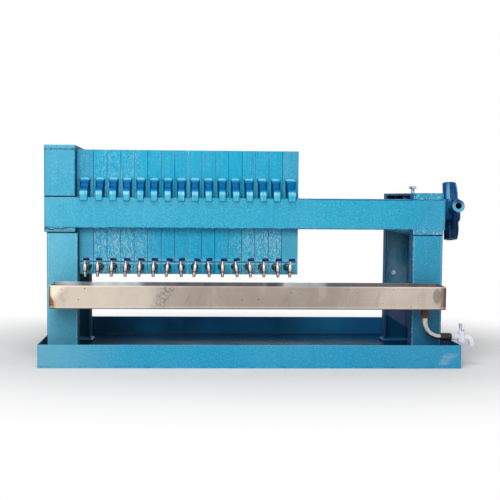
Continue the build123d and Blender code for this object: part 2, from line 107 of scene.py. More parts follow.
class PressPaints(bpy.types.PropertyGroup):
    """Colours of the press."""

    frame_blue: colour_prop("Frame blue", "Enamel on the posts and bars", shade(34, 166, 200))
    casting_blue: colour_prop("Casting blue", "Paint on the filter plates", shade(0, 164, 202))
    end_blue: colour_prop("End plate blue", "Smoother paint on the two end plates", shade(36, 156, 193))
    tray_blue: colour_prop("Tray blue", "Enamel on the outside of the drip tray", shade(20, 150, 190))
    tray_oil: colour_prop("Oily tray floor", "Oily enamel inside the drip tray", shade(26, 124, 174))
    # Also laid as a painted sheen towards the head end of the frame and as painted highlight lines on the
    # head's posts.
    chalk: colour_prop("Chalked paint", "Pale bloom where the paint is thin or dusty", shade(142, 206, 222))
    # Besides runs and mottling, also laid as painted shade on rounded edges, the bars' top edge, flanks,
    # joints, the boss's top edge and towards the screw end.
    deep_blue: colour_prop("Deep blue", "Paint pooled in hollows", shade(6, 86, 150))
    # Real dirt on welds and at the tray's foot, and also painted shade in the frame's hollows and flanks,
    # the hub's bores and the plates' recessed fields, and painted shadow lines under the sill and
    # crosshead.
    grime: colour_prop("Grime", "Oily dirt low on the posts and in the seams", shade(4, 34, 54))
    # Laid only as painted shade: on the flange toes, the flanks towards the screw end and the crosshead's
    # top flange.
    primer: colour_prop("Primer", "Dull violet undercoat on cut ends and thin spots", shade(40, 58, 104))
    stainless: colour_prop("Stainless", "Brushed sheet of the oil trough", shade(198, 186, 172))
    tarnish: colour_prop("Tarnish", "Greyer, handled part of the sheet", shade(147, 135, 126))
    burn: colour_prop("Weld burn", "Brown heat tint at the ends of the sheet", shade(124, 78, 44))
    plating: colour_prop("Plating", "Bright plated metal of the cocks", shade(206, 202, 200))
    brass: colour_prop("Brass", "Cock stems and lever tips", shade(204, 170, 156))
    lever_blue: colour_prop("Lever blue", "Dark paint of the cock levers", shade(4, 46, 108))
    ring_red: colour_prop("Seal red", "Seal ring under each cock barrel", shade(150, 40, 30))
    plastic: colour_prop("Tap plastic", "Moulded plastic of the drain tap", shade(240, 240, 250))
    rubber: colour_prop("Hose rubber", "Black coupling of the drain pipe", shade(22, 22, 26))
    rust: colour_prop("Rust", "Bare iron of the drain socket", shade(108, 70, 52))
    steel: colour_prop("Turned steel", "Screw and bolts", shade(168, 166, 164))


class PressSizes(bpy.types.PropertyGroup):
    """Small sizes of the dressed pieces."""

    steel_round: length_prop("Steel edge round", "Outer corner radius of the rolled sections", 2.8 * MM)
    toe_round: length_prop("Toe round", "Edge radius of flange toes, plates and ribs", 1.1 * MM)
    cast_round: length_prop("Casting edge round", "Edge radius of the cast lugs", 2.4 * MM)
    plate_round: length_prop("Plate edge round", "Edge radius of the cast plates", 0.6 * MM)
    sheet_round: length_prop("Sheet edge round", "Edge radius of folded sheet", 0.7 * MM)
    weld_width: length_prop("Weld width", "Width of a weld bead", 7 * MM)
    thread_lead: length_prop("Thread lead", "Travel of the tightening screw per turn", 10 * MM)
    thread_depth: length_prop("Thread depth", "Depth of the screw's square thread", 3 * MM)
    hub_voxel: length_prop("Hub grain", "Fineness of the cast hub's blended mesh", 1.15 * MM)
    tap_voxel: length_prop("Tap grain", "Fineness of the moulded tap's mesh", 0.55 * MM)


class PressStage(bpy.types.PropertyGroup):
    """Floor, lights and camera."""

    floor_colour: colour_prop("Floor", "Pale floor under the press", (0.9, 0.9, 0.9))
    floor_reach: length_prop("Floor reach", "Half width of the floor", 12.0)
    key_power: power_prop("Key lamp", "Broad soft lamp at the front left", 46)
    top_power: power_prop("Top lamp", "Soft lamp above the front edge", 22)
    back_power: power_prop("Back lamp", "Soft lamp behind the press", 30)
    air: number_prop("Air", "Brightness of the surrounding air", 0.30)
    lens: number_prop("Lens", "Focal length in millimetres", 75.77, low=1)


def math_node(operation, reflected=False):
    """A Wire method that adds one Math node for its own value and the other terms."""

    def apply(wire, *others):
        terms = (*others, wire) if reflected else (wire, *others)
        return wire.board.node("ShaderNodeMath", {"operation": operation}, dict(enumerate(terms)))

    return apply


class Wire:
    """A shader socket that takes part in Python arithmetic."""

    __add__ = __radd__ = math_node("ADD")
    __sub__, __rsub__ = math_node("SUBTRACT"), math_node("SUBTRACT", reflected=True)
    __mul__ = __rmul__ = math_node("MULTIPLY")
    __pow__, __rpow__ = math_node("POWER"), math_node("POWER", reflected=True)
    __abs__ = math_node("ABSOLUTE")
    at_most, at_least = math_node("MINIMUM"), math_node("MAXIMUM")

    def __init__(self, board, socket):
        self.board = board
        self.socket = socket

    def above(self, low, high):
        """0 below low, 1 above high, smooth between."""
        return self.board.node(
            "ShaderNodeMapRange",
            {"interpolation_type": "SMOOTHSTEP"},
            {"Value": self, "From Min": low, "From Max": high},
        )

    def below(self, low, high):
        """1 below low, 0 above high, smooth between."""
        return 1 - self.above(low, high)

    def band(self, middle, half, soft):
        """1 within half of middle, falling to 0 over soft."""
        return abs(self - middle).below(half, half + soft)

    def lay(self, colour, share):
        """Lays a share of another colour over this one."""
        self.socket = self.board.mix(self, colour, share).socket


def coordinate(axis):
    """A board's wire for the place along one axis."""
    return cached_property(lambda board: board.node("ShaderNodeSeparateXYZ", {}, {0: board.place}, axis))


class Board:
    """A node tree that is filled from Python, node by node."""

    x, y, z = coordinate(0), coordinate(1), coordinate(2)

    def __init__(self, tree):
        self.tree = tree
        tree.nodes.clear()

    def node(self, kind, settings=None, sockets=None, out=0):
        """Adds one node: its settings first, then its sockets' values or links."""
        made = self.tree.nodes.new(kind)
        for key, value in (settings or {}).items():
            setattr(made, key, value)
        for key, value in (sockets or {}).items():
            socket = made.inputs[key]
            if isinstance(value, Wire):
                self.tree.links.new(value.socket, socket)
            elif socket.type == "RGBA":
                socket.default_value = (*tuple(value)[:3], 1)
            else:
                socket.default_value = value
        return Wire(self, made.outputs[out]) if len(made.outputs) else None

    @cached_property
    def place(self):
        """The point in the press's own frame, in metres."""
        return self.node("ShaderNodeTexCoord", out="Object")

    @cached_property
    def edge(self):
        """The face mark that the mesh code leaves on rounded edges, in bores, in thread roots and on the
        cocks' unlit faces; finishes lay wear or painted shade on it.
        """
        return self.node("ShaderNodeAttribute", {"attribute_name": "edge"}, out="Fac")

    def facing(self, axis):
        normal = self.node("ShaderNodeTexCoord", out="Normal")
        return self.node("ShaderNodeSeparateXYZ", {}, {0: normal}, axis)

    def noise(self, scale, detail=3, stretch=(1, 1, 1), shift=0, warp=0):
        mapping = {"Vector": self.place, "Location": (shift, shift, shift), "Scale": stretch}
        point = self.node("ShaderNodeMapping", {}, mapping)
        return self.node(
            "ShaderNodeTexNoise",
            {"noise_dimensions": "3D"},
            {"Vector": point, "Scale": scale, "Detail": detail, "Distortion": warp},
        )

    def mix(self, first, second, share):
        return self.node("ShaderNodeMix", {"data_type": "RGBA"}, {0: share, 6: first, 7: second}, 2)

    def bump(self, height, strength, distance, under=None):
        sockets = {"Strength": strength, "Distance": distance, "Height": height}
        if under is not None:
            sockets["Normal"] = under
        return self.node("ShaderNodeBump", {}, sockets)

    def surface(self, tone, gloss, relief, **others):
        """Ends the tree with one principled shader."""
        sockets = {"Base Color": tone, "Roughness": gloss, "Normal": relief}
        for key, value in others.items():
            sockets[key.replace("_", " ").title().replace("Ior", "IOR")] = value
        shader = self.node("ShaderNodeBsdfPrincipled", {}, sockets)
        self.node("ShaderNodeOutputMaterial", {}, {"Surface": shader})


# In the finishes below, places and heights are metres in the press's own frame.
# Steps of noise and shares of colour run from 0 to 1.


def painted(board, paints, base, speck, chalk, rough, grain):
    """Tone, gloss and relief of hammer-effect paint: bloom, runs, sandy grain and pooled hollows."""
    broad = board.noise(3.4, 2)
    mottle = board.noise(46, 4)
    sand = board.noise(260, 3)
    grit = board.noise(760, 2)
    runs = board.noise(1, 3, stretch=(120, 120, 8))
    tone = board.mix(base, paints.chalk, broad.above(0.34, 0.76) * chalk)
    tone.lay(paints.deep_blue, runs.above(0.54, 0.80) * 0.16)
    tone.lay(paints.deep_blue, mottle.above(0.55, 0.84) * 0.16)
    tone.lay(paints.chalk, sand.above(0.50, 0.68) * speck)
    tone.lay(paints.deep_blue, sand.below(0.32, 0.48) * speck * 0.8)
    tone.lay(paints.chalk, grit.above(0.58, 0.72) * speck * 0.7)
    gloss = rough + (mottle - 0.5) * 0.22 + (sand - 0.5) * 0.18
    relief = board.bump(sand * 0.55 + mottle * 0.35 + runs * 0.25 + grit * 0.15, grain, 0.0012)
    return tone, gloss, relief


def frame_tone(board, paints):
    """Colour, gloss and grain of the frame's enamel, with a painted sheen towards the head end and painted
    shade towards the screw end and low down.
    """
    tone, gloss, relief = painted(board, paints, paints.frame_blue, 0.20, 0.16, 0.36, 0.30)
    x, z = board.x, board.z
    patch = board.noise(60, 3)
    # Painted sheen: paler towards the head end, most under the bar, where it lifts the bar's shade.
    sheen_at_head = x.below(-0.50, -0.34)
    under_bar = z.below(0.30, 0.33)
    tone.lay(paints.chalk, sheen_at_head * (0.06 + under_bar * 0.26 + patch.above(0.4, 0.7) * 0.08))
    # Painted shade: deeper towards the screw end, more under the bar.
    dusk = x.above(0.30, 0.46)
    tone.lay(paints.deep_blue, dusk * (0.18 + under_bar * 0.10))
    # Painted shade low down on the posts, under the trough, strongest towards the screw end.
    low = z.below(0.05, 0.29)
    tone.lay(shade(5, 68, 118), low * (0.10 + dusk * 0.40))
    return tone, gloss, relief, patch


def torn_weld(board):
    """A dark ragged line along the weld under the head end of the side bars."""
    height = board.z + (board.noise(62, 3, shift=1.3) - 0.5) * 0.024
    head = board.x.below(*HEAD_END)
    return height.band(0.3262, 0.0010, 0.0010) * head * abs(board.y).above(*OUTER_FACE)


def frame_enamel(board, paints):
    tone, gloss, relief, patch = frame_tone(board, paints)
    x, y, z = board.x, board.y, board.z
    outer = abs(y).above(*OUTER_FACE)
    screw_end = x.above(0.4000, 0.4020)
    run_on = screw_end * z.band(0.3265, 0.0035, 0.0010)
    # Painted shade on the rounded outer edges.
    rim = board.edge * outer * (1 - run_on)
    tone.lay(paints.deep_blue, rim * 0.55)
    rub = board.edge * board.noise(130, 3).above(0.52, 0.66)
    tone.lay(paints.chalk, rub * outer * 0.4)
    upright = abs(board.facing(1)).above(0.5, 0.8)
    # Painted shade on the flange toes.
    toe = abs(y).band(0.1550, 0.0016, 0.0010) * upright
    tone.lay(paints.primer, toe * 0.88)
    drips = board.noise(1, 2, stretch=(170, 170, 14), shift=2.3).above(0.50, 0.66)
    soiled = drips * z.band(0.386, 0.004, 0.012) * x.below(0.10, 0.14)
    tone.lay(shade(104, 148, 150), soiled * 0.30)
    wobble = (board.noise(170, 3) - 0.5) * 0.004
    head = x.below(*HEAD_END)
    cracks = (z + wobble).band(0.3205, 0.0004, 0.0007) * head * patch.above(0.36, 0.54)
    ragged = torn_weld(board) + cracks
    # Dark joint lines; the lines under the sill and under the crosshead are painted shadow lines.
    seams = (
        z.band(0.3155, 0.0019, 0.0012) * (1 - screw_end)
        + (z + wobble * 0.4).band(0.3130, 0.0010, 0.0012) * screw_end
        + z.band(0.4018, 0.0013, 0.0012) * head
        + z.band(0.516, 0.0010, 0.0010) * head
    )
    tone.lay(paints.grime, (seams * 0.92 + ragged * 0.88).at_most(1))
    # Painted highlight lines along the sill's lower edge and the bars' top edge at the head.
    lip = z.band(0.3178, 0.0008, 0.0010) * head + z.band(0.3993, 0.0008, 0.0010) * head
    tone.lay(paints.chalk, lip * 0.30)
    crust = screw_end * z.band(0.3225, 0.0055, 0.0030) * board.noise(150, 3).above(0.52, 0.66)
    tone.lay(shade(182, 206, 220), crust * outer * 0.55)
    # Painted shade along the bars' rounded top edge towards the screw end.
    crown = z.band(0.3995, 0.0017, 0.0010) * x.above(0.12, 0.20) * (1 - screw_end) * outer
    tone.lay(paints.deep_blue, crown * 0.80)
    stub = z.above(0.402, 0.404) * head * z.below(0.514, 0.516)
    tone.lay(paints.deep_blue, stub * 0.10)
    strip = screw_end * z.above(0.4015, 0.4025) * outer * upright
    tone.lay(shade(196, 228, 238), strip * board.noise(190, 4).above(0.54, 0.66) * 0.7)
    tone.lay(paints.deep_blue, strip * board.noise(230, 3).below(0.38, 0.48) * 0.8)
    # Painted shade on the crosshead's top flange.
    plum = x.band(0.364, 0.038, 0.002) * z.above(0.4020, 0.4030) * upright
    tone.lay(paints.primer, plum * 0.94)
    # Painted highlight lines just inside the rounded corners of the posts, below the bars.
    inset = abs(x + 0.454).band(0.0338, 0.0005, 0.0011) + abs(x - 0.439).band(0.0338, 0.0005, 0.0011)
    tone.lay(shade(150, 216, 232), inset * z.below(0.309, 0.313) * outer * 0.34)
    board.surface(tone, gloss - rim * 0.06, relief, specular_ior_level=0.24)


# Painted shade on the frame's flanks: deeper blue, violet towards the screw end, darker towards the head
# end.
def frame_flank(board, paints):
    tone, gloss, relief, patch = frame_tone(board, paints)
    tone.lay(paints.deep_blue, 0.22 + patch.above(0.4, 0.7) * 0.14)
    tone.lay(paints.primer, board.x.above(0.36, 0.40) * 0.56)
    tone.lay(paints.grime, board.x.below(-0.36, -0.30) * 0.72)
    board.surface(tone, gloss + 0.2, relief, specular_ior_level=0.04)


# Painted shade on the frame's inner sides, weaker at the right rear post below the bar, where a pale tone
# of dust and painted light is laid.
def frame_hollow(board, paints):
    tone, gloss, relief, patch = frame_tone(board, paints)
    dusk = board.x.above(0.20, 0.36) * board.z.below(0.33, 0.36)
    hollow_shade = board.mix(paints.grime, shade(2, 14, 22), patch.above(0.36, 0.66) * 0.6)
    tone.lay(shade(150, 178, 186), dusk * (0.16 + board.noise(24, 4).above(0.42, 0.66) * 0.5))
    tone.lay(hollow_shade, 0.88 - dusk * 0.84)
    # Below the trough at the right rear post: a paler painted lit patch, and under a diagonal line a
    # painted cast shadow of the trough.
    slope = board.z + board.x * 0.594
    tone.lay(shade(84, 84, 122), dusk * board.z.below(0.092, 0.104) * 0.8)
    tone.lay(shade(0, 70, 108), dusk * slope.below(0.3170, 0.3210) * 0.95)
    board.surface(tone, gloss + 0.2, relief, specular_ior_level=0.03)


def weld_enamel(board, paints):
    tone, gloss, relief = painted(board, paints, paints.frame_blue, 0.45, 0.40, 0.40, 0.55)
    pits = board.noise(330, 3)
    crust = board.noise(190, 4)
    tone.lay(shade(186, 212, 220), crust.above(0.56, 0.70) * 0.6)
    tone.lay(paints.grime, pits.below(0.32, 0.48) * 0.8)
    tone.lay(paints.grime, torn_weld(board) * 0.88)
    # Painted shade on the rear foot welds.
    foot = board.z.below(0.020, 0.030) * board.y.above(0.02, 0.06)
    tone.lay(shade(0, 40, 70), foot * 0.85)
    relief = board.bump(pits + crust * 0.6, 0.6, 0.002, relief)
    board.surface(tone, gloss, relief, specular_ior_level=0.3)


def lug_paint(board, paints):
    """Paint on the lugs: painted shade on the waist and flanks, painted highlights on the ledge and the
    nose's crown, and a lighter, streaked nose.
    """
    tone, gloss, relief = painted(board, paints, paints.casting_blue, 0.12, 0.05, 0.32, 0.24)
    out = abs(board.y) - PLATE_FACE
    rise = board.z - BAR_TOP
    streak = board.noise(1, 2, stretch=(640, 640, 26), shift=0.7)
    # Painted shade under the ledge: the waist is darkest low down and lighter just above the nose.
    waist = rise.above(0.0140, 0.0175) * rise.below(0.0405, 0.0435)
    tone.lay(shade(0, 92, 160), waist * (0.96 - rise.above(0.026, 0.040) * 0.36))
    tone.lay(shade(0, 132, 190), waist * rise.below(0.017, 0.025) * 0.70)
    tone.lay(shade(0, 48, 104), waist * streak.above(0.52, 0.70) * 0.22)
    # The nose is lighter with streaks: partly painted light, partly streaked paint.
    nose = rise.below(0.0130, 0.0165) * out.above(0.026, 0.034)
    tone.lay(shade(112, 206, 232), nose * (0.12 + streak.above(0.42, 0.62) * 0.45))
    # Painted highlight along the nose's rounded crown.
    crown = nose * rise.band(0.0105, 0.0020, 0.0040)
    tone.lay(shade(190, 240, 250), crown * (0.18 + streak.above(0.42, 0.62) * 0.36))
    # Painted shade on the lugs' side faces.
    flank = abs(board.facing(0)).above(0.55, 0.85)
    tone.lay(shade(6, 40, 84), flank * 0.82)
    # Painted highlight on the ledge.
    ledge = rise.above(0.0425, 0.0445) * (1 - flank)
    tone.lay(shade(176, 234, 246), ledge * (0.40 + streak.above(0.5, 0.7) * 0.25))
    board.surface(tone, gloss - 0.06, relief, specular_ior_level=0.06)


def cast_plate_paint(board, paints):
    tone, gloss, relief = painted(board, paints, paints.casting_blue, 0.12, 0.02, 0.44, 0.40)
    x, y, z = board.x, board.y, board.z
    worm = board.noise(320, 4, stretch=(1, 1, 0.42), warp=1.1)
    patch = board.noise(19, 3, stretch=(1, 1, 0.35))
    low = z.below(0.31, 0.34)
    # Painted light: lighter below the bar, where it lifts the bar's shade.
    tone.lay(shade(0, 192, 238), low * 0.66)
    ends = abs(x + 0.14).above(0.06, 0.18)
    head = x.below(-0.30, -0.20)
    flakes = worm.above(0.49, 0.58) * (patch + low * 0.14 + ends * 0.10).above(0.38, 0.60)
    tone.lay(paints.chalk, flakes * (1 - low) * (0.12 + head * 0.30))
    tone.lay(shade(206, 226, 220), flakes * low * (0.10 + ends * 0.58))
    tone.lay(paints.chalk, low * ends * 0.06)
    streak = board.noise(1, 3, stretch=(420, 420, 11))
    tone.lay(paints.chalk, streak.above(0.56, 0.76) * (0.12 + low * ends * 0.26))
    tone.lay(paints.deep_blue, streak.below(0.28, 0.46) * 0.26)
    # Painted shade in the joints between the plates, stronger below the bar.
    tone.lay(paints.deep_blue, board.edge * (0.14 + low * 0.40))
    tone.lay(shade(190, 206, 208), board.edge * patch.above(0.42, 0.58) * 0.40)
    boss_tones(board, paints, tone)
    # Painted shade on the plates' recessed fields.
    field = (PLATE_FACE - abs(y)).above(0.010, 0.014) * z.band(0.3645, 0.128, 0.004)
    tone.lay(paints.grime, field * 0.80)
    relief = board.bump(worm * 0.5 + streak * 0.5, 0.30, 0.0010, relief)
    board.surface(tone, gloss, relief, specular_ior_level=0.15)


def boss_tones(board, paints, tone):
    """A painted shadow line at the outlet boss's top edge between two painted highlight lines, and a
    deeper, uneven tone on its face.
    """
    y, z = board.y, board.z
    front = y.below(-PLATE_FACE - 0.0005, -PLATE_FACE + 0.0005)
    uneven = board.noise(150, 2)
    face = front * z.below(0.2395, 0.2405) * y.below(-0.158, -0.1555)
    tone.lay(paints.deep_blue, face * (0.12 + uneven * 0.2))
    # Two painted highlight lines, one above and one below the boss's top edge.
    glint = z.band(0.2468, 0.0018, 0.0018) + z.band(0.2384, 0.0013, 0.0012)
    tone.lay(shade(134, 232, 248), front * glint * (0.25 + uneven.above(0.34, 0.56) * 0.6))
    # Between them, a painted shadow line at the boss's top edge.
    tone.lay(paints.deep_blue, front * z.band(0.2427, 0.0011, 0.0012) * 0.85)


def end_plate_paint(board, paints):
    tone, gloss, relief = painted(board, paints, paints.end_blue, 0.20, 0.20, 0.42, 0.30)
    streak = board.noise(1, 3, stretch=(360, 360, 11), shift=0.4)
    tone.lay(paints.chalk, streak.above(0.56, 0.76) * 0.20)
    low = board.z.below(0.31, 0.34)
    # Painted light: lighter below the bar, where it lifts the bar's shade.
    tone.lay(shade(96, 206, 236), low * 0.50)
    # Painted shade on the rounded edges, in the joints.
    tone.lay(paints.deep_blue, board.edge * 0.34)
    boss_tones(board, paints, tone)
    board.surface(tone, gloss, relief, specular_ior_level=0.16)


def hub_paint(board, paints):
    tone, gloss, relief = painted(board, paints, shade(0, 72, 128), 0.08, 0.02, 0.27, 0.24)
    x, y, z = board.x, board.y, board.z
    rub = board.noise(30, 3)
    tone.lay(paints.frame_blue, rub.above(0.50, 0.72) * 0.22)
    # Painted light on the front arm's end ring, and painted shade on the lower part of the hub.
    ring = y.below(-0.0745, -0.0720)
    under = z.below(0.335, 0.380)
    tone.lay(shade(0, 34, 70), under * 0.86 * (1 - ring))
    # Painted highlight streak down the front of the upper arm.
    highlight_streak = (x + (rub - 0.5) * 0.004).band(0.5335, 0.0020, 0.0040) * z.above(0.392, 0.408)
    tone.lay(shade(132, 214, 240), highlight_streak * y.below(-0.006, 0.002) * 0.62)
    # Painted highlight along the ribs' outer edge.
    taper = (abs(z - 0.3705) - 0.049).at_least(0) * 0.165
    spine = (x + taper).above(0.5575, 0.5592) * z.band(0.388, 0.048, 0.020)
    tone.lay(shade(50, 168, 214), spine * 0.75)
    tone.lay(shade(120, 200, 230), ring * 0.75)
    # Painted shade in the bores.
    tone.lay(paints.grime, board.edge * 0.96)
    board.surface(tone, gloss, relief, coat_weight=0.04, coat_roughness=0.10, specular_ior_level=0.08)


def tray_paint(board, paints):
    tone, gloss, relief = painted(board, paints, paints.tray_blue, 0.18, 0.09, 0.36, 0.26)
    x, y, z = board.x, board.y, board.z
    # Painted sheen towards the left end and painted shade towards the right end.
    left = x.below(-0.50, -0.24)
    tone.lay(shade(132, 186, 200), left * 0.44)
    tone.lay(paints.deep_blue, x.above(0.16, 0.40) * 0.14)
    scrape = board.noise(1, 4, stretch=(50, 60, 160), warp=0.6)
    wedge = (x - z * 0.55).above(0.438, 0.446) * (x - z * 0.9).below(0.452, 0.470)
    corner = wedge * z.band(0.022, 0.010, 0.006) * y.below(-0.29, -0.28)
    rubbed = corner * (0.35 + scrape.above(0.40, 0.62) * 0.65)
    tone.lay(shade(168, 182, 204), rubbed * 0.60)
    foot = z.below(0.001, 0.009) * board.noise(34, 4).above(0.46, 0.70)
    tone.lay(paints.grime, foot * 0.4)
    tone.lay(paints.chalk, board.edge * 0.22)
    board.surface(tone, gloss + rubbed * 0.2, relief, specular_ior_level=0.24)


def tray_film(board, paints):
    x, z = board.x, board.z
    film = board.noise(7, 4)
    grit = board.noise(220, 3)
    tone = board.mix(paints.tray_oil, shade(18, 82, 112), film.above(0.38, 0.68) * 0.7)
    # Painted shade: darker at the left end, deeper at the right end and on the floor.
    tone.lay(shade(14, 50, 70), x.below(-0.42, -0.24) * 0.75)
    tone.lay(shade(4, 66, 122), x.above(0.26, 0.38) * 0.6)
    floor = z.below(0.004, 0.008)
    tone.lay(shade(6, 40, 66), floor * 0.70)
    tone.lay(paints.deep_blue, grit.above(0.60, 0.74) * 0.10)
    relief = board.bump(film * 0.6 + grit * 0.2, 0.06, 0.001)
    board.surface(tone, 0.46 + film * 0.16 - floor * 0.36, relief, specular_ior_level=0.24)


def stainless_sheet(board, paints):
    x, y, z = board.x, board.y, board.z
    broad = board.noise(5, 3)
    smear = board.noise(16, 4, stretch=(1, 1, 0.7), warp=0.9)
    brush = board.noise(1, 3, stretch=(16, 900, 900))
    scratch = board.noise(1, 2, stretch=(240, 30, 60), shift=3.1)
    ragged = board.noise(80, 3)
    front = y.below(-0.2925, -0.2915)
    centre = x.band(0.03, 0.14, 0.26)
    tone = board.mix(paints.stainless, paints.tarnish, centre * 0.96)
    right = x.above(0.20, 0.42)
    tone.lay(shade(190, 177, 166), right * 0.8)
    tone.lay(shade(116, 106, 100), smear.above(0.58, 0.74) * centre * 0.45)
    mottle = board.noise(30, 4, stretch=(1, 1, 0.45), shift=2.2)
    tone.lay(shade(118, 108, 102), mottle.above(0.52, 0.74) * front * 0.30)
    tone.lay(shade(230, 220, 206), mottle.below(0.30, 0.46) * front * 0.14)
    slant = x - z * 0.55
    rubs = slant.band(-0.3010, 0.006, 0.020) * board.noise(150, 3).above(0.36, 0.58)
    rubs = rubs + slant.band(-0.2400, 0.0010, 0.0020) * ragged.above(0.44, 0.60) * 0.6
    tone.lay(shade(106, 100, 98), rubs.at_most(1) * front * 0.80)
    tone.lay(shade(226, 217, 204), broad.above(0.55, 0.8) * 0.30)
    tone.lay(paints.tarnish, (brush - 0.5).at_least(0) * 0.7)
    # Painted reflection: a bright flare at the left end's upper corner.
    flare = (x - z * 0.76).below(-0.5960, -0.5720) * front * z.above(0.150, 0.170)
    tone.lay(shade(250, 238, 216), flare * 0.62)
    tear = ragged - 0.5
    low_end = z.below(0.156, 0.172)
    singe = (x + tear * 0.008 - low_end * 0.0095).below(-0.4715, -0.4655)
    scorch = (x + tear * 0.008 - low_end * 0.0085).below(-0.4725, -0.4690)
    soot = (x + tear * 0.006 - low_end * 0.002).below(-0.4738, -0.4715)
    heat = (x + tear * 0.008).above(0.4475, 0.4525)
    char = (x + tear * 0.004).above(0.4555, 0.4590)
    tone.lay(shade(214, 150, 88), singe * front * 0.6)
    tone.lay(paints.burn, scorch * front * 0.88)
    tone.lay(shade(62, 38, 26), soot * front * 0.75)
    tone.lay(shade(124, 86, 66), heat * front * 0.80)
    tone.lay(shade(58, 40, 38), char * front * 0.8)
    wide, tall = (x - 0.4415) * 95, (z - 0.1715) * 55
    blotch = (wide * wide + tall * tall + (smear - 0.5) * 1.2).below(0.35, 1.15) * front
    tone.lay(shade(112, 112, 104), blotch * 0.72)
    specks = board.noise(120, 1, shift=1.7).above(0.735, 0.76)
    tone.lay(shade(92, 62, 46), specks * 0.8)
    # Inside the walls: painted shade with painted sky reflections and painted shadows.
    inner = y.above(-0.2915, -0.2895)
    sky = board.noise(9, 2, stretch=(1, 0.1, 0.1), shift=5.2).above(0.52, 0.66)
    tone.lay(board.mix(shade(104, 108, 116), shade(230, 236, 240), sky * 0.9), inner * 0.88)
    shadow = board.noise(14, 3, stretch=(1, 0.1, 0.1), shift=8.8).above(0.54, 0.64)
    tone.lay(shade(64, 72, 84), shadow * inner * 0.6)
    # Painted highlight lines along the hem and the top lip, and painted shade along the bottom edge.
    hem = z.band(0.1440, 0.0010, 0.0012) * front
    tone.lay(shade(226, 214, 194), hem * 0.3)
    lip = z.above(0.1905, 0.1925) * front
    tone.lay(shade(250, 232, 210), lip * (1 - centre * 0.7) * 0.5)
    under = z.below(0.1406, 0.1424) * front
    tone.lay(shade(64, 58, 56), under * 0.85)
    gloss = 0.42 + broad * 0.14 + brush * 0.08 - inner * 0.16
    relief = board.bump(brush * 0.5 + scratch * 0.2 + smear * 0.15, 0.10, 0.0006)
    board.surface(tone, gloss, relief, metallic=0.40)


def bright_plating(board, paints):
    stain = board.noise(260, 3)
    fine = board.noise(1500, 2)
    # Painted dark reflections on the sides, and painted shade on the flange and nut faces that are marked
    # as unlit.
    side = abs(board.facing(0)).above(0.34, 0.72)
    tone = board.mix(paints.plating, shade(122, 112, 108), stain.above(0.5, 0.75) * 0.4)
    tone.lay(shade(44, 34, 34), side * 0.88)
    tone.lay(shade(30, 32, 42), board.edge * (0.90 - stain.above(0.56, 0.66) * 0.4))
    board.surface(tone, 0.2 + stain * 0.2, board.bump(fine, 0.12, 0.0003), metallic=0.95)


def pipe_steel(board, paints):
    stain = board.noise(180, 3)
    brush = board.noise(900, 2)
    # Painted shade on the underside and the right side.
    under = (board.facing(2) * -1 + board.facing(0) * 0.4).above(0.05, 0.75)
    tone = board.mix(shade(190, 188, 186), shade(150, 146, 142), stain.above(0.46, 0.72) * 0.6)
    tone.lay(shade(66, 64, 64), under * 0.7)
    board.surface(tone, 0.24 + stain * 0.08, board.bump(brush, 0.05, 0.0003), metallic=0.92)


def brass_metal(board, paints):
    stain = board.noise(320, 3)
    tone = board.mix(paints.brass, shade(120, 78, 58), stain.above(0.48, 0.72) * 0.6)
    board.surface(tone, 0.26 + stain * 0.2, board.bump(stain, 0.1, 0.0004), metallic=0.85)


def lever_paint(board, paints):
    chip = board.noise(420, 3)
    tone = board.mix(paints.lever_blue, shade(6, 18, 44), chip.above(0.4, 0.65))
    tone.lay(shade(58, 110, 150), chip.above(0.68, 0.76) * 0.5)
    relief = board.bump(chip, 0.2, 0.0006)
    board.surface(tone, 0.34 + chip * 0.15, relief, specular_ior_level=0.12)


def seal_ring(board, paints):
    grain = board.noise(700, 2)
    tone = board.mix(paints.ring_red, shade(96, 36, 26), grain.above(0.42, 0.7))
    board.surface(tone, 0.5 + grain * 0.2, board.bump(grain, 0.15, 0.0004))


def tap_plastic(board, paints):
    cloud = board.noise(60, 3)
    orange = board.noise(900, 2)
    tone = board.mix(paints.plastic, shade(222, 220, 236), cloud.above(0.45, 0.75))
    relief = board.bump(orange, 0.08, 0.0004)
    board.surface(tone, 0.28 + cloud * 0.12, relief, subsurface_weight=0.10, subsurface_scale=0.004)


def hose_rubber(board, paints):
    dust = board.noise(300, 3)
    tone = board.mix(paints.rubber, shade(60, 60, 66), dust.above(0.5, 0.8) * 0.5)
    board.surface(tone, 0.5 + dust * 0.2, board.bump(dust, 0.2, 0.0006))


def rusty_iron(board, paints):
    scale = board.noise(260, 5)
    bloom = board.noise(90, 4)
    tone = board.mix(paints.rust, shade(70, 44, 34), scale.above(0.42, 0.66))
    tone.lay(shade(160, 112, 74), bloom.above(0.54, 0.72) * 0.6)
    board.surface(tone, 0.72 + scale * 0.2, board.bump(scale, 0.5, 0.0012), metallic=0.15)


def zinc_plate(board, paints):
    cells = {"Vector": board.place, "Scale": 420.0}
    spangle = board.node("ShaderNodeTexVoronoi", {"feature": "F1"}, cells, "Distance")
    stain = board.noise(200, 3)
    tone = board.mix(shade(206, 206, 210), shade(132, 130, 136), stain.above(0.46, 0.74))
    board.surface(tone, 0.34 + spangle * 0.2, board.bump(spangle, 0.1, 0.0004), metallic=0.85)


def turned_steel(board, paints):
    rings = board.noise(1, 3, stretch=(1400, 30, 30))
    grease = board.noise(34, 4)
    tone = board.mix(paints.steel, shade(74, 62, 50), grease.above(0.44, 0.68) * 0.8)
    # Painted shade in the thread roots.
    tone.lay(shade(26, 24, 24), board.edge * 0.7)
    board.surface(tone, 0.28 + grease * 0.2, board.bump(rings, 0.12, 0.0004), metallic=0.9)


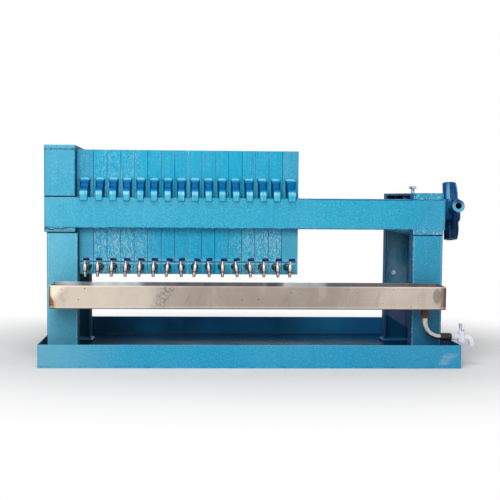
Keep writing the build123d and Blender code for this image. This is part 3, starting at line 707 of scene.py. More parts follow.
def oily_iron(board, paints):
    sand = board.noise(380, 4)
    oil = board.noise(22, 3)
    tone = board.mix(shade(30, 44, 56), shade(16, 20, 26), sand.above(0.4, 0.66))
    board.surface(tone, 0.42 + oil * 0.24, board.bump(sand, 0.4, 0.001), metallic=0.2)


def finish(maker):
    """The material of a finish, made the first time that it is asked for."""
    material = bpy.data.materials.get(maker.__name__)
    if material is None:
        material = bpy.data.materials.new(maker.__name__)
        material.use_nodes = True
        maker(Board(material.node_tree), bpy.context.scene.press_paints)
    return material


def new_piece(name, mesh, finishes, body, stands_for=(), crease=40):
    """Turns a bmesh into a piece that rides on a body and stands for CAD nodes."""
    data = bpy.data.meshes.new(name)
    mesh.to_mesh(data)
    mesh.free()
    for each in finishes:
        data.materials.append(finish(each))
    data.polygons.foreach_set("use_smooth", [True] * len(data.polygons))
    data.set_sharp_from_angle(angle=math.radians(crease))
    piece = bpy.data.objects.new(name, data)
    bpy.context.scene.collection.objects.link(piece)
    if stands_for:
        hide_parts(*stands_for)
    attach(piece, body)
    return piece


def keep_flat(piece):
    """Keeps flat faces flat in the shading beside rounded edges."""
    piece.modifiers.new("flat_faces", "WEIGHTED_NORMAL").keep_sharp = True


def at(x, y, z):
    """A point given in millimetres."""
    return Vector((x * MM, y * MM, z * MM))


def box_mm(node):
    """The low and high corners of a CAD node in millimetres."""
    low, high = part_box(node)
    return [value / MM for value in low], [value / MM for value in high]


def towards(origin, direction):
    """A matrix at origin whose Z axis runs along direction."""
    return Matrix.Translation(origin) @ Vector(direction).to_track_quat("Z", "Y").to_matrix().to_4x4()


def circle(steps, start=0.0):
    """Cosine and sine of angles spread evenly over a turn."""
    angles = (start + 2 * math.pi * step / steps for step in range(steps))
    return [(math.cos(angle), math.sin(angle)) for angle in angles]


def eased(value, low, high):
    """0 below low, 1 above high, smooth between."""
    share = min(1.0, max(0.0, (value - low) / (high - low)))
    return share * share * (3 - 2 * share)


def hexagon(width):
    """Corner radius of a hexagon that is so wide over its flats."""
    return width / 2 / math.cos(math.pi / 6)


def blank(*marks):
    """An empty mesh with the face marks edge and those asked for."""
    mesh = bmesh.new()
    for mark in ("edge", *marks):
        mesh.faces.layers.float.new(mark)
    return mesh


def turn_out(mesh):
    """Points all faces outwards."""
    bmesh.ops.recalc_face_normals(mesh, faces=mesh.faces)


def wall(mesh, low, high):
    """Joins two rings of points with quads."""
    count = len(low)
    pairs = ((k, (k + 1) % count) for k in range(count))
    return [mesh.faces.new((low[k], low[after], high[after], high[k])) for k, after in pairs]


def solid_copy(*nodes):
    """A welded mesh of CAD nodes with their flat faces made whole again and their inner sides marked."""
    mesh = blank("hollow")
    for node in nodes:
        mesh.from_mesh(frame["nodes"][node].data)
    bmesh.ops.remove_doubles(mesh, verts=mesh.verts, dist=1e-5)
    bmesh.ops.dissolve_limit(mesh, angle_limit=math.radians(0.6), verts=mesh.verts, edges=mesh.edges)
    if len(nodes) == 1:
        low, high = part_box(nodes[0])
        middle = (low + high) / 2
        hollow = mesh.faces.layers.float["hollow"]
        for face in mesh.faces:
            face[hollow] = (middle - face.calc_center_median()).dot(face.normal) > 2 * MM
    return mesh


def sharp_edges(mesh, angle, keep=lambda middle: True):
    """Edges whose faces meet at more than an angle and whose middles keep allows."""
    limit = math.radians(angle)
    return [
        edge
        for edge in mesh.edges
        if len(edge.link_faces) == 2
        and edge.calc_face_angle(0) > limit
        and keep((edge.verts[0].co + edge.verts[1].co) / 2)
    ]


def round_edges(mesh, edges, width, segments=2):
    """Rounds edges and marks the new faces for wear and painted shade."""
    made = bmesh.ops.bevel(
        mesh,
        geom=edges,
        offset=width,
        offset_type="OFFSET",
        segments=segments,
        profile=0.5,
        affect="EDGES",
        clamp_overlap=False,
    )
    wear_and_shade = mesh.faces.layers.float["edge"]
    for face in made["faces"]:
        face[wear_and_shade] = 1


def softened(name, nodes, width, finishes, angle=SHARP, pick=None):
    """CAD nodes with rounded edges, marked for wear and painted shade, as one piece; pick sets its faces'
    finishes.
    """
    mesh = solid_copy(*nodes)
    round_edges(mesh, sharp_edges(mesh, angle), width)
    if pick:
        pick(mesh)
    keep_flat(new_piece(name, mesh, finishes, CARRIER[nodes[0]], nodes))


FRAME_FINISHES = [frame_enamel, frame_flank, frame_hollow]


def pick_frame_sides(mesh):
    """Gives the frame's outer faces, its flanks and its inner sides their own finishes; the flanks and
    inner sides get painted shade.
    """
    hollow = mesh.faces.layers.float["hollow"]
    for face in mesh.faces:
        face.material_index = 2 if face[hollow] > 0.5 else 1 if abs(face.normal.x) > 0.8 else 0


def framing(name, node, width):
    """One welded part of the frame with softened edges."""
    softened(name, [node], width, FRAME_FINISHES, pick=pick_frame_sides)


def rolled(name, node, sizes):
    """A rolled section: full corner rounds along its outer face, small ones on its toes and ends."""
    mesh = solid_copy(node)
    low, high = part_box(node)
    outside = max(abs(low.y), abs(high.y))
    corners = sharp_edges(mesh, SHARP, lambda p: abs(abs(p.y) - outside) < 0.3 * MM)
    round_edges(mesh, corners, sizes.steel_round, 3)
    toes = sharp_edges(mesh, SHARP, lambda p: abs(p.y) < outside - 6 * MM)
    round_edges(mesh, toes, sizes.toe_round)
    pick_frame_sides(mesh)
    keep_flat(new_piece(name, mesh, FRAME_FINISHES, CARRIER[node], [node]))


def moulded(name, nodes, voxel, rounds, finishes, mark=None, add=None, swell=None):
    """CAD nodes, and what add puts to them, blended into one cast or moulded skin and swollen."""
    mesh = solid_copy(*nodes)
    if add:
        add(mesh)
    data = bpy.data.meshes.new(name + "_core")
    mesh.to_mesh(data)
    mesh.free()
    core = bpy.data.objects.new(name + "_core", data)
    bpy.context.scene.collection.objects.link(core)
    skin = core.modifiers.new("skin", "REMESH")
    skin.mode = "VOXEL"
    skin.voxel_size = voxel
    ease = core.modifiers.new("ease", "SMOOTH")
    ease.factor = 0.5
    ease.iterations = rounds
    bpy.context.view_layer.update()
    shaped = bpy.data.meshes.new_from_object(core.evaluated_get(bpy.context.evaluated_depsgraph_get()))
    bpy.data.objects.remove(core)
    mesh = blank()
    mesh.from_mesh(shaped)
    bpy.data.meshes.remove(shaped)
    wear_and_shade = mesh.faces.layers.float["edge"]
    for face in mesh.faces:
        face[wear_and_shade] = bool(mark and mark(face.calc_center_median()))
    if swell:
        low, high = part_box(nodes[0])
        mesh.normal_update()
        for vert in mesh.verts:
            vert.co += vert.normal * swell(vert.co)
            vert.co.z = min(high.z, max(low.z, vert.co.z))
    new_piece(name, mesh, finishes, CARRIER[nodes[0]], nodes, crease=60)


def lathe(mesh, profile, matrix, steps=28, finish_index=0, start=0.0):
    """Adds a turned shape: (radius, height) pairs in millimetres about the matrix's Z axis."""

    def point(x, y, height):
        return mesh.verts.new(matrix @ at(x, y, height))

    rings = []
    for radius, height in profile:
        turn = circle(steps, start) if radius else [(0, 0)]
        rings.append([point(radius * c, radius * s, height) for c, s in turn])
    made = []
    for low, high in zip(rings, rings[1:]):
        if len(low) == len(high):
            made += wall(mesh, low, high)
            continue
        for step in range(steps):
            after = (step + 1) % steps
            if len(low) == 1:
                made.append(mesh.faces.new((low[0], high[after], high[step])))
            else:
                made.append(mesh.faces.new((low[step], low[after], high[0])))
    for face in made:
        face.material_index = finish_index


BEAD_SIDES = 9


def bead(mesh, points, width, seed, lumps=0.0):
    """Adds a rippled weld bead along straight runs between points, lumpier where lumps is larger."""
    dice = random.Random(seed)
    for start, end in zip(points, points[1:]):
        rings = []
        run = end - start
        forward = run.normalized()
        side = forward.orthogonal().normalized()
        other = forward.cross(side)
        count = max(4, int(run.length / (1.3 * MM)))
        phase, drift = dice.random() * 6, dice.random() * 6
        stray = (0.05 + lumps * 0.14) * width
        for step in range(count + 1):
            share = step / count
            along = share * run.length / MM
            swell = 1 + 0.16 * math.sin(phase + along / 1.05) + dice.uniform(-0.13, 0.13)
            swell += lumps * (0.5 * math.sin(drift + along / 5.3) + 0.5 * math.sin(phase + along / 3.1))
            taper = min(1.0, 0.35 + 8 * min(share, 1 - share))
            radius = width / 2 * max(0.45, swell) * taper
            wander = side * dice.uniform(-stray, stray) + other * dice.uniform(-stray, stray)
            middle = start + run * share + wander
            turn = circle(BEAD_SIDES)
            rings.append([mesh.verts.new(middle + (side * c + other * s) * radius) for c, s in turn])
        for low, high in zip(rings, rings[1:]):
            wall(mesh, low, high)
        mesh.faces.new(reversed(rings[0]))
        mesh.faces.new(rings[-1])


def spatter(mesh, place, radius, seed):
    """Adds one uneven blob of weld metal."""
    dice = random.Random(seed)
    made = bmesh.ops.create_icosphere(mesh, subdivisions=2, radius=radius, matrix=Matrix.Translation(place))
    for vert in made["verts"]:
        offset = vert.co - place
        offset.z *= 0.8
        offset.y *= 0.6
        vert.co = place + offset * dice.uniform(0.82, 1.18)


class PRESS_OT_tray(bpy.types.Operator):
    """Dress the drip tray with worn enamel and an oily floor, with painted sheen and shade"""

    bl_idname = "press.tray"
    bl_label = "Drip tray"

    def execute(self, context):
        width = context.scene.press_sizes.sheet_round
        softened("tray_shell", ["drip_tray"], width, [tray_paint, tray_film], pick=self.wet)
        return {"FINISHED"}

    @staticmethod
    def wet(mesh):
        """Gives the inside of the tray its oily film and painted shade."""
        low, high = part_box("drip_tray")
        for face in mesh.faces:
            middle = face.calc_center_median()
            edge = min(middle.x - low.x, high.x - middle.x, middle.y - low.y, high.y - middle.y)
            face.material_index = int(edge > 2.2 * MM and middle.z > 1 * MM)


class PRESS_OT_frame(bpy.types.Operator):
    """Dress the posts, bars, beam and plates of the welded frame"""

    bl_idname = "press.frame"
    bl_label = "Frame"

    def execute(self, context):
        sizes = context.scene.press_sizes
        for part in ("left_post", "right_post", "side_bar", "head_post"):
            for side in ("front", "rear"):
                rolled(f"{side}_{part}_steel", f"{side}_{part}", sizes)
        for node in ("head_cross_beam", "post_foot_plates", "head_sill_plate", "head_top_plate"):
            framing(node + "_steel", node, sizes.toe_round)
        return {"FINISHED"}


class PRESS_OT_crosshead(bpy.types.Operator):
    """Dress the screw crosshead, its nut block and the lock bolt"""

    bl_idname = "press.crosshead"
    bl_label = "Crosshead"

    def execute(self, context):
        width = context.scene.press_sizes.toe_round
        framing("crosshead_beam", "screw_crosshead", width)
        softened("nut_casting", ["screw_nut_block"], width, [oily_iron])
        low, high = box_mm("lock_bolt")
        axis = Matrix.Translation(at((low[0] + high[0]) / 2, (low[1] + high[1]) / 2, 0))
        foot, top = low[2], high[2]
        head = top - 7
        half_pitch, shank = 0.9, 5
        count = int((head - foot) / half_pitch)
        threads = [(shank - 0.35 * (k % 2), foot + half_pitch * k) for k in range(count)]
        mesh = blank()
        lathe(mesh, [(0, foot), *threads, (shank, head)], axis)
        flats = hexagon(17)
        rim = [(flats * 0.94, head), (flats, head + 0.8), (flats, top - 1.2), (flats * 0.86, top)]
        lathe(mesh, [(0, head), *rim, (0, top)], axis, 6)
        new_piece("lock_bolt_hex", mesh, [zinc_plate], "frame", ["lock_bolt"], crease=25)
        return {"FINISHED"}


def on_lug(point, clear):
    """True for a point on a lug, more than clear millimetres out of the plate's side."""
    return abs(point.y) > PLATE_FACE + clear * MM and point.z > LUG_FOOT


def cut_lugs(mesh):
    """Cuts the lugs across at several heights, so that they can be splayed smoothly."""
    for rise in (26, 30, 33, 35.5, 38, 40.5, 43):
        lug = [face for face in mesh.faces if on_lug(face.calc_center_median(), 0.2)]
        edges = {edge for face in lug for edge in face.edges}
        verts = {vert for face in lug for vert in face.verts}
        bmesh.ops.bisect_plane(
            mesh,
            geom=[*verts, *edges, *lug],
            dist=1e-6,
            plane_co=(0, 0, BAR_TOP + rise * MM),
            plane_no=(0, 0, 1),
        )


def splay_lugs(mesh):
    """Widens the lugs into a fishtail where they spring from the plate."""
    for side in (-1, 1):
        verts = [vert for vert in mesh.verts if side * vert.co.y > 0 and on_lug(vert.co, 0.02)]
        nose = [vert.co.x for vert in verts if on_lug(vert.co, 30)]
        centre = (min(nose) + max(nose)) / 2
        for vert in verts:
            out = (side * vert.co.y - PLATE_FACE) / MM
            rise = (vert.co.z - BAR_TOP) / MM
            wider = (0.08 + 0.34 * eased(rise, 33, 43)) * eased(out, 0, 3.5)
            vert.co.x = centre + (vert.co.x - centre) * (1 + wider)


class PRESS_OT_plates(bpy.types.Operator):
    """Dress the pack of cast filter plates and the two end plates"""

    bl_idname = "press.plates"
    bl_label = "Filter plates"

    def execute(self, context):
        sizes = context.scene.press_sizes
        for node in PLATES:
            mesh = solid_copy(node)
            cut_lugs(mesh)
            round_edges(mesh, sharp_edges(mesh, SHARP, lambda p: on_lug(p, 0.5)), sizes.cast_round, 3)
            rest = sharp_edges(mesh, SHARP, lambda p: abs(p.y) < PLATE_FACE + 6 * MM)
            round_edges(mesh, rest, sizes.plate_round)
            splay_lugs(mesh)
            for face in mesh.faces:
                face.material_index = int(on_lug(face.calc_center_median(), 0.4))
            paint = cast_plate_paint if node in INNER_PLATES else end_plate_paint
            finishes = [paint, lug_paint]
            keep_flat(new_piece(node + "_casting", mesh, finishes, CARRIER[node], [node]))
        return {"FINISHED"}


def cock_mesh(matrix):
    """A plug cock that reaches out of its boss along local -Y."""
    mesh = blank()
    outward = towards(Vector(), (0, -1, 0))
    upright = Matrix.Translation(at(0, -COCK_REACH, 0))
    lever = towards(at(0, -COCK_REACH, 21.7), (1, 0, 0))
    flats = hexagon(15)
    plated, brass, painted_blue, red = range(4)

    def turned(profile, place, finish_index, steps=24, start=0.0):
        lathe(mesh, profile, matrix @ place, steps, finish_index, start)

    turned([(0, 0), (8.6, 0), (9, 0.6), (9, 1.0), (7.6, 2.4), (7.2, 2.4)], outward, plated)
    nut = [(7, 1.2), (flats * 0.95, 1.4), (flats, 2.2), (flats, 6.6), (flats * 0.9, 7.8), (5.4, 7.8)]
    turned(nut, outward, plated, 6, 0.26)
    # Flange and nut faces outside the lit upper rim are marked for painted shade.
    unlit = mesh.faces.layers.float["edge"]
    for face in mesh.faces:
        place = matrix.inverted() @ face.calc_center_median() / MM
        lit = math.hypot(place.x, place.z) > 7.9 and place.y < -1.2 and place.z > 0.5 and place.x > -3
        face[unlit] = not lit
    pipe = [ring for k in range(9) for ring in ((5.0, 7.8 + 2.2 * k), (4.55, 8.9 + 2.2 * k))]
    pipe += [(5, 28), (5, 58), (5.6, 60), (5.6, 64), (4.8, 66), (4.8, COCK_REACH)]
    turned(pipe, outward, plated)
    barrel = [(0, -8), (4.7, -8), (5.1, -7.2), (5.5, -4), (5.9, 0)]
    barrel += [(5.8, 4), (5.3, 7.2), (4.2, 8.8), (2.6, 9.2)]
    turned(barrel, upright, plated)
    turned([(4.7, -8), (5.6, -8.2), (5.7, -9), (5.6, -9.9), (4.4, -10)], upright, red)
    nozzle = [(4.4, -9.8), (5.4, -10), (5.5, -11), (4.2, -11.5), (4.0, -13)]
    nozzle += [(3.3, -20.1), (2.9, -20.5), (2.3, -20.4), (2.2, -12), (0, -12)]
    turned(nozzle, upright, plated)
    stem = [(2.6, 9.0), (3.0, 9.2), (3.0, 11), (2.7, 11.6), (2.5, 17), (2.7, 18.4), (0, 18.4)]
    turned(stem, upright, brass)
    knob = [(0, 18.2), (3.6, 18.2), (4, 19), (4, 23.4), (3.2, 24.8), (1.4, 25.1), (0, 25.1)]
    turned(knob, upright, painted_blue)
    turned([(0, 0), (3.4, 0), (3.4, 11.2), (3.5, 11.8)], lever, painted_blue, 16)
    turned([(3.5, 11.6), (3.2, 13.0), (2.3, 13.8), (0, 14)], lever, brass, 16)
    return mesh


class PRESS_OT_cocks(bpy.types.Operator):
    """Build the outlet cock of each plate"""

    bl_idname = "press.cocks"
    bl_label = "Outlet cocks"

    def execute(self, context):
        metals = [bright_plating, brass_metal, lever_paint, seal_ring]
        end_offsets = {"head_plate": 27, "follower_plate": 13}
        for number, (plate, lean) in enumerate(zip(PLATES, COCK_LEANS), 1):
            node = f"outlet_cock_{number:02d}"
            low, high = box_mm(plate)
            x = low[0] + end_offsets.get(plate, (high[0] - low[0]) / 2)
            place = Matrix.Translation(at(x, *BOSS)) @ Matrix.Rotation(math.radians(-lean), 4, "Y")
            mesh = cock_mesh(place)
            new_piece(node + "_fitting", mesh, metals, CARRIER[node], [node], crease=35)
        return {"FINISHED"}


class PRESS_OT_screw(bpy.types.Operator):
    """Cut the thread of the tightening screw and cast its capstan hub"""

    bl_idname = "press.screw"
    bl_label = "Screw and hub"

    def execute(self, context):
        sizes = context.scene.press_sizes
        low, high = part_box("tightening_screw")
        axis_z = (low.z + high.z) / 2
        self.thread(sizes, low, high, axis_z)
        hub_inset = 22 * MM
        self.hub(sizes, Vector((high.x - hub_inset, 0, axis_z)))
        return {"FINISHED"}

    @staticmethod
    def thread(sizes, low, high, axis_z):
        crest = (high.z - low.z) / 2
        root = crest - sizes.thread_depth
        lead = sizes.thread_lead
        tip, neck, run_out = 16 * MM, 60 * MM, 2 * MM
        foot, flank, land_end = 0.02, 0.07, 0.52  # shares of the lead
        start, end = low.x + tip, high.x - neck
        steps, rows_per_turn = 36, 12
        mesh = blank()
        wear_and_shade = mesh.faces.layers.float["edge"]
        rings = []
        count = int((end - start) / (lead / rows_per_turn))
        for row in range(count + 1):
            x = start + (end - start) * row / count
            fade = min(1, (x - start) / run_out, (end - x) / run_out)
            ring = []
            for step, (c, s) in enumerate(circle(steps)):
                turn = (x / lead - step / steps) % 1
                rise = min(1, max(0, min((turn - foot) / flank, (land_end - turn) / flank)))
                radius = root + (crest - root) * rise * fade
                ring.append(mesh.verts.new((x, radius * c, axis_z + radius * s)))
            rings.append(ring)
        for before, after in zip(rings, rings[1:]):
            # Thread roots are marked for painted shade.
            for face in wall(mesh, before, after):
                middle = face.calc_center_median()
                face[wear_and_shade] = math.hypot(middle.y, middle.z - axis_z) < root + 0.7 * sizes.thread_depth
        sizes_mm = (value / MM for value in (root, crest, start, end, low.x, high.x))
        root, crest, start, end, left, right = sizes_mm
        axis = towards(Vector((0, 0, axis_z)), (1, 0, 0))
        lathe(mesh, [(0, left), (13.5, left), (15, left + 1.5), (15, start), (root, start)], axis, steps)
        shank = [(root, end), (crest, end + 0.2), (crest, end + 1.8), (16, end + 2)]
        lathe(mesh, [*shank, (16, right - 1.2), (14.8, right), (0, right)], axis, steps)
        turn_out(mesh)
        node = "tightening_screw"
        new_piece(node + "_thread", mesh, [turned_steel], "screw", [node])

    @staticmethod
    def hub(sizes, middle):
        lean, stagger = math.radians(11), 5.5
        bore_start, bore_end, bore_radius = 28 * MM, 75.4 * MM, 8.5 * MM
        half_rib = 9.5
        arms = []
        for k in range(4):
            angle = lean + k * math.pi / 2
            centre = middle + at(stagger * (k % 2), 0, 0)
            arms.append((centre, Vector((0, math.sin(angle), math.cos(angle)))))

        def in_bore(point):
            for centre, arm in arms:
                offset = point - centre
                reach = offset.dot(arm)
                if bore_start < reach < bore_end and (offset - arm * reach).length < bore_radius:
                    return True
            return False

        def fair(mesh):
            """Adds the ribs that run out along the outer side of the upright arms."""
            outline = ((11, 20), (21.9, 20), (21.9, 49), (20.4, 62), (17.4, 75.6), (11, 75.6))
            for centre, arm in arms[::2]:
                across = arm.cross(Vector((1, 0, 0)))
                left, right = (
                    [mesh.verts.new(centre + at(x, 0, 0) + (arm * r + across * t) * MM) for x, r in outline]
                    for t in (-half_rib, half_rib)
                )
                mesh.faces.new(left)
                mesh.faces.new(reversed(right))
                wall(mesh, left, right)
            turn_out(mesh)

        nodes = ["capstan_hub", "capstan_sockets"]
        moulded("capstan_casting", nodes, sizes.hub_voxel, 3, [hub_paint], in_bore, fair)


class PRESS_OT_welds(bpy.types.Operator):
    """Run the weld beads of the frame"""

    bl_idname = "press.welds"
    bl_label = "Weld beads"

    # x, height and radius of the larger blobs, in millimetres
    BLOBS = ((-463, 321.5, 3.4), (-487, 323, 2.4), (-446, 321, 2.2), (419, 405, 2.6), (455, 406, 2.8))

    def execute(self, context):
        width = context.scene.press_sizes.weld_width
        face, top = BAR_FACE / MM, BAR_TOP / MM
        under = box_mm("front_side_bar")[0][2]
        head_top = box_mm("head_top_plate")[0][2]
        head_left, head_right = (corner[0] for corner in box_mm("front_head_post"))
        posts = [[corner[0] for corner in box_mm(f"front_{end}_post")] for end in ("left", "right")]
        left, right = posts[1]
        # first x, last x, height, depth under the bar's face, share of the weld's width, lumps
        runs = (
            (left + 1.5, right - 1, top + 1.6, 0.9, 0.72, 0.5),
            (left + 3.5, right - 2, top + 5.4, 1.4, 0.66, 0.6),
            (left + 1.5, right - 1.5, under - 0.6, 1.4, 0.46, 0.3),
            (head_left + 1.5, head_right - 1.5, under + 0.4, 1.6, 0.46, 0.2),
            (head_left + 2.5, head_right - 2.5, under - 3.4, 1.0, 0.60, 0.7),
            (head_left + 1.5, head_right - 1.5, under - 7.2, 1.6, 0.46, 0.5),
            (head_left + 1.5, head_right - 1.5, head_top, 1.4, 0.40, 0.0),
        )
        foot = box_mm("post_foot_plates")[1][2] + 0.5
        feet = [((x, face - 1), (x, face - 38)) for post in posts for x in post]
        feet += [((low + 0.5, face - 0.4), (high - 0.5, face - 0.4)) for low, high in posts]
        mesh = bmesh.new()
        seeds = itertools.count(1)
        dice = random.Random(40)
        for side in (-1, 1):
            for first, last, z, depth, share, lumps in runs:
                y = side * (face - depth)
                bead(mesh, [at(first, y, z), at(last, y, z)], width * share, next(seeds), lumps)
            for x, z, radius in self.BLOBS:
                spatter(mesh, at(x, side * (face - 0.6), z), radius * MM, next(seeds))
            for _ in range(14):
                x = dice.uniform(left + 2.5, right - 2.5)
                place = at(x, side * (face - 0.2), dice.uniform(top - 1.5, top + 8))
                spatter(mesh, place, dice.uniform(0.7, 1.5) * MM, next(seeds))
            for ends in feet:
                bead(mesh, [at(x, side * y, foot) for x, y in ends], width * 0.7, next(seeds))
        turn_out(mesh)
        new_piece("frame_welds", mesh, [weld_enamel], "frame", crease=70)
        return {"FINISHED"}


class PRESS_OT_trough(bpy.types.Operator):
    """Dress the stainless oil trough"""

    bl_idname = "press.trough"
    bl_label = "Oil trough"

    def execute(self, context):
        low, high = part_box("oil_trough")
        sheet, fall, sag = 2 * MM, 1.5 * MM, 3 * MM
        drain_radius, drain_steps = 5.5 * MM, 24
        mesh = blank()

        def ring(inset, height):
            left, right = low.x + inset, high.x - inset
            front, back = low.y + inset, high.y - inset
            corners = ((left, front), (right, front), (right, back), (left, back))
            return [mesh.verts.new((x, y, height(y))) for x, y in corners]

        def rim(y):
            return high.z - sag - fall * (high.y - y) / (high.y - low.y)

        rings = [
            ring(0, lambda y: low.z),
            ring(0, rim),
            ring(sheet, rim),
            ring(sheet, lambda y: low.z + sheet),
        ]
        for lower, upper in zip(rings, rings[1:]):
            wall(mesh, lower, upper)
        middle = sum(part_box("drain_socket"), Vector()) / 2
        holes = []
        for corners in (rings[0], rings[-1]):
            hole = [
                mesh.verts.new((middle.x + drain_radius * c, middle.y + drain_radius * s, corners[0].co.z))
                for c, s in circle(drain_steps)
            ]
            border = [mesh.edges.get((corners[k], corners[(k + 1) % 4])) for k in range(4)]
            border += [mesh.edges.new((hole[k], hole[(k + 1) % drain_steps])) for k in range(drain_steps)]
            bmesh.ops.triangle_fill(mesh, edges=border, use_beauty=True)
            holes.append(hole)
        wall(mesh, *holes)
        turn_out(mesh)
        round_edges(mesh, sharp_edges(mesh, 50), context.scene.press_sizes.sheet_round)
        node = "oil_trough"
        keep_flat(new_piece(node + "_sheet", mesh, [stainless_sheet], "frame", [node]))
        return {"FINISHED"}


class PRESS_OT_drain(bpy.types.Operator):
    """Build the drain socket, its pipe and the hose coupling"""

    bl_idname = "press.drain"
    bl_label = "Drain pipe"

    def execute(self, context):
        softened("drain_socket_iron", ["drain_socket"], 0.8 * MM, [rusty_iron])
        softened("drain_pipe_bend", ["drain_pipe"], 0.3 * MM, [pipe_steel], angle=50)
        self.coupling()
        self.collar(context.scene.press_sizes.weld_width * 0.5)
        return {"FINISHED"}

    @staticmethod
    def coupling():
        """The ribbed rubber coupling between the pipe and the tap."""
        low, high = box_mm("tap_coupling")
        length = high[0] - low[0]
        reach = (high[2] - low[2]) / 2
        bore, ribs = 5.6, 6
        profile = [(bore, 0), (reach * 0.86, 0), (reach * 0.95, 0.8), (reach * 0.96, 3)]
        for k in range(ribs):
            x = 4.2 + k * (length - 8.4) / (ribs - 1)
            profile += [(reach, x - 0.6), (reach, x + 0.6), (reach * 0.94, x + 1.3)]
        profile += [(reach * 0.95, length - 0.8), (reach * 0.86, length), (bore, length)]
        mesh = blank()
        start = at(low[0], (low[1] + high[1]) / 2, (low[2] + high[2]) / 2)
        lathe(mesh, profile, towards(start, (1, 0, 0)), 32)
        turn_out(mesh)
        new_piece("hose_coupling", mesh, [hose_rubber], "frame", ["tap_coupling"])

    @staticmethod
    def collar(width):
        """The weld round the drain socket's top and the rusty collar at its foot."""
        low, high = box_mm("drain_socket")
        x, y = (low[0] + high[0]) / 2, (low[1] + high[1]) / 2
        reach = (high[0] - low[0]) / 2
        mesh = bmesh.new()
        turn = circle(20)
        top = [at(x + reach * c, y + reach * s, high[2] - 0.6) for c, s in [*turn, turn[0]]]
        bead(mesh, top, width, 91)
        bore, foot = 6.4, -5.0
        profile = [(bore, 0.4), (reach - 0.9, 0.2), (reach - 0.4, -0.6), (reach - 0.6, -4.2)]
        profile += [(reach - 1.6, foot), (bore, foot)]
        lathe(mesh, profile, Matrix.Translation(at(x, y, low[2])), 28)
        turn_out(mesh)
        new_piece("drain_socket_weld", mesh, [rusty_iron], "frame", crease=70)


class PRESS_OT_tap(bpy.types.Operator):
    """Mould the plastic drain tap and its handle"""

    bl_idname = "press.tap"
    bl_label = "Drain tap"

    def execute(self, context):
        voxel = context.scene.press_sizes.tap_voxel
        spigot_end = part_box("tap_coupling")[1].x + 0.2 * MM
        low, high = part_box("drain_tap_handle")
        inlet_end = (low.x + high.x) / 2 - 7 * MM

        def body_swell(point):
            """Thicker walls, most of all round the inlet; the spigot stays inside the coupling."""
            if point.x < spigot_end:
                return 0
            return (1.6 + 1.7 * min(1, max(0, (inlet_end - point.x) / (3 * MM)))) * MM

        def handle_swell(point):
            return 0.6 * MM

        for name, node, rounds, swell in (
            ("tap_moulding", "drain_tap_body", 4, body_swell),
            ("tap_handle_moulding", "drain_tap_handle", 3, handle_swell),
        ):
            moulded(name, [node], voxel, rounds, [tap_plastic], swell=swell)
        return {"FINISHED"}


class PRESS_OT_fasteners(bpy.types.Operator):
    """Add the bolt and washer on the rear right post, and dress the feed socket"""

    bl_idname = "press.fasteners"
    bl_label = "Fasteners"

    def execute(self, context):
        mesh = blank()
        web = box_mm("rear_right_post")[1][1] - 5
        face = towards(at(432, web, 194), (0, -1, 0))
        lathe(mesh, [(0, 0), (6.4, 0), (6.4, 1.2), (6, 1.7), (0, 1.7)], face)
        corner = 4.0
        lathe(mesh, [(0, 1.6), (corner, 1.7), (corner, 5.6), (corner * 0.84, 6.4), (0, 6.6)], face, 4)
        turn_out(mesh)
        new_piece("rear_post_bolt", mesh, [zinc_plate], "frame", crease=30)
        softened("feed_socket_iron", ["feed_inlet_socket"], 1 * MM, [oily_iron])
        return {"FINISHED"}


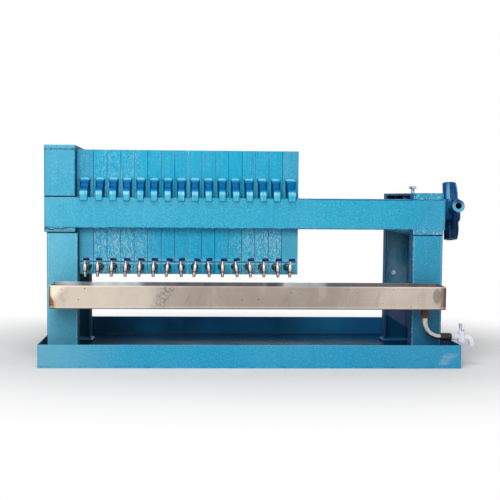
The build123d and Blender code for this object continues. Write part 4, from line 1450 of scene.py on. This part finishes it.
class PRESS_OT_stage(bpy.types.Operator):
    """Set the floor, the lamps, the air and the camera"""

    bl_idname = "press.stage"
    bl_label = "Stage"

    # name, width, place and target of each lamp
    LAMPS = (
        ("key", 1.6, (-0.55, -3.15, 1.45), (-0.1, 0, 0.3)),
        ("top", 1.3, (-0.35, -1.15, 2.35), (-0.05, -0.1, 0.35)),
        ("back", 2.0, (0.35, 3.1, 1.9), (0, 0.1, 0.25)),
    )
    WHITE_FROM = (0.42, 1.05)  # metres from the middle over which the floor turns white
    CAMERA_PLACE = (-0.1536, -2.7568, 0.4041)
    CAMERA_TURNS = (2.384, 3.983, 0.434)  # degrees to the right, down and about the view

    def execute(self, context):
        scene = context.scene
        settings = scene.press_stage
        self.floor(scene, settings)
        world = bpy.data.worlds.new("studio_air")
        world.use_nodes = True
        scene.world = world
        air = Board(world.node_tree)
        glow = settings.air + self.seen(air) * (1 - settings.air)
        sky = air.node("ShaderNodeBackground", {}, {"Color": (1, 1, 1), "Strength": glow})
        air.node("ShaderNodeOutputWorld", {}, {"Surface": sky})
        for name, size, place, target in self.LAMPS:
            data = bpy.data.lights.new(name + "_lamp", "AREA")
            data.energy = getattr(settings, name + "_power")
            data.shape = "DISK"
            data.size = size
            lamp = bpy.data.objects.new(name + "_lamp", data)
            lamp.location = place
            lamp.rotation_euler = (Vector(target) - Vector(place)).to_track_quat("-Z", "Y").to_euler()
            scene.collection.objects.link(lamp)
        self.camera(scene, settings)
        scene.view_settings.view_transform = "Standard"
        return {"FINISHED"}

    @staticmethod
    def seen(board):
        """1 for rays from the camera and off or through shiny pieces."""
        kinds = ("Camera", "Glossy", "Transmission")
        rays = [board.node("ShaderNodeLightPath", out=f"Is {kind} Ray") for kind in kinds]
        return sum(rays[1:], rays[0]).at_most(1)

    def floor(self, scene, settings):
        """A pale floor that fades to white away from the press."""
        reach, drop = settings.floor_reach, -0.5 * MM
        data = bpy.data.meshes.new("studio_floor")
        corners = ((-reach, -reach), (reach, -reach), (reach, reach), (-reach, reach))
        data.from_pydata([(x, y, drop) for x, y in corners], [], [(0, 1, 2, 3)])
        floor = bpy.data.objects.new("studio_floor", data)
        scene.collection.objects.link(floor)
        ground = bpy.data.materials.new("studio_floor")
        ground.use_nodes = True
        board = Board(ground.node_tree)
        away = ((board.x * 0.8) ** 2 + board.y**2) ** 0.5
        pale = board.mix(settings.floor_colour, (0.88, 0.88, 0.88), board.noise(3, 2).above(0.4, 0.7))
        matt = board.node("ShaderNodeBsdfDiffuse", {}, {"Color": pale})
        white = board.node("ShaderNodeEmission", {}, {"Color": (1, 1, 1), "Strength": 1.0})
        share = away.above(*self.WHITE_FROM) * self.seen(board)
        both = board.node("ShaderNodeMixShader", {}, {0: share, 1: matt, 2: white})
        board.node("ShaderNodeOutputMaterial", {}, {"Surface": both})
        data.materials.append(ground)

    def camera(self, scene, settings):
        yaw, pitch, roll = (math.radians(angle) for angle in self.CAMERA_TURNS)
        level = Matrix.Rotation(-yaw, 4, "Z") @ Matrix.Rotation(math.pi / 2 - pitch, 4, "X")
        data = bpy.data.cameras.new("view_camera")
        data.lens = settings.lens
        data.sensor_width = 36
        data.shift_x = data.shift_y = 0.04
        camera = bpy.data.objects.new("view_camera", data)
        camera.matrix_world = Matrix.Translation(self.CAMERA_PLACE) @ level @ Matrix.Rotation(roll, 4, "Z")
        scene.collection.objects.link(camera)
        scene.camera = camera


STEPS = (
    PRESS_OT_tray,
    PRESS_OT_frame,
    PRESS_OT_crosshead,
    PRESS_OT_plates,
    PRESS_OT_cocks,
    PRESS_OT_screw,
    PRESS_OT_welds,
    PRESS_OT_trough,
    PRESS_OT_drain,
    PRESS_OT_tap,
    PRESS_OT_fasteners,
    PRESS_OT_stage,
)


GROUPS = {"press_paints": PressPaints, "press_sizes": PressSizes, "press_stage": PressStage}


class PRESS_PT_panel(bpy.types.Panel):
    """Lists the steps that dress the press."""

    bl_idname = "PRESS_PT_panel"
    bl_label = "Filter press"
    bl_space_type = "VIEW_3D"
    bl_region_type = "UI"
    bl_category = "Filter press"

    def draw(self, context):
        layout = self.layout
        for step in STEPS:
            layout.operator(step.bl_idname)
        for group in (getattr(context.scene, key) for key in GROUPS):
            column = layout.column()
            for name in group.bl_rna.properties.keys():
                if name not in {"rna_type", "name"}:
                    column.prop(group, name)


CLASSES = (*GROUPS.values(), *STEPS, PRESS_PT_panel)


def register():
    for each in CLASSES:
        bpy.utils.register_class(each)
    for key, group in GROUPS.items():
        setattr(bpy.types.Scene, key, bpy.props.PointerProperty(type=group))


def unregister():
    for key in GROUPS:
        delattr(bpy.types.Scene, key)
    for each in reversed(CLASSES):
        bpy.utils.unregister_class(each)


def main():
    register()
    bpy.ops.press.tray()
    bpy.ops.press.frame()
    bpy.ops.press.crosshead()
    bpy.ops.press.plates()
    bpy.ops.press.cocks()
    bpy.ops.press.screw()
    bpy.ops.press.welds()
    bpy.ops.press.trough()
    bpy.ops.press.drain()
    bpy.ops.press.tap()
    bpy.ops.press.fasteners()
    bpy.ops.press.stage()


if __name__ == "__main__":
    main()
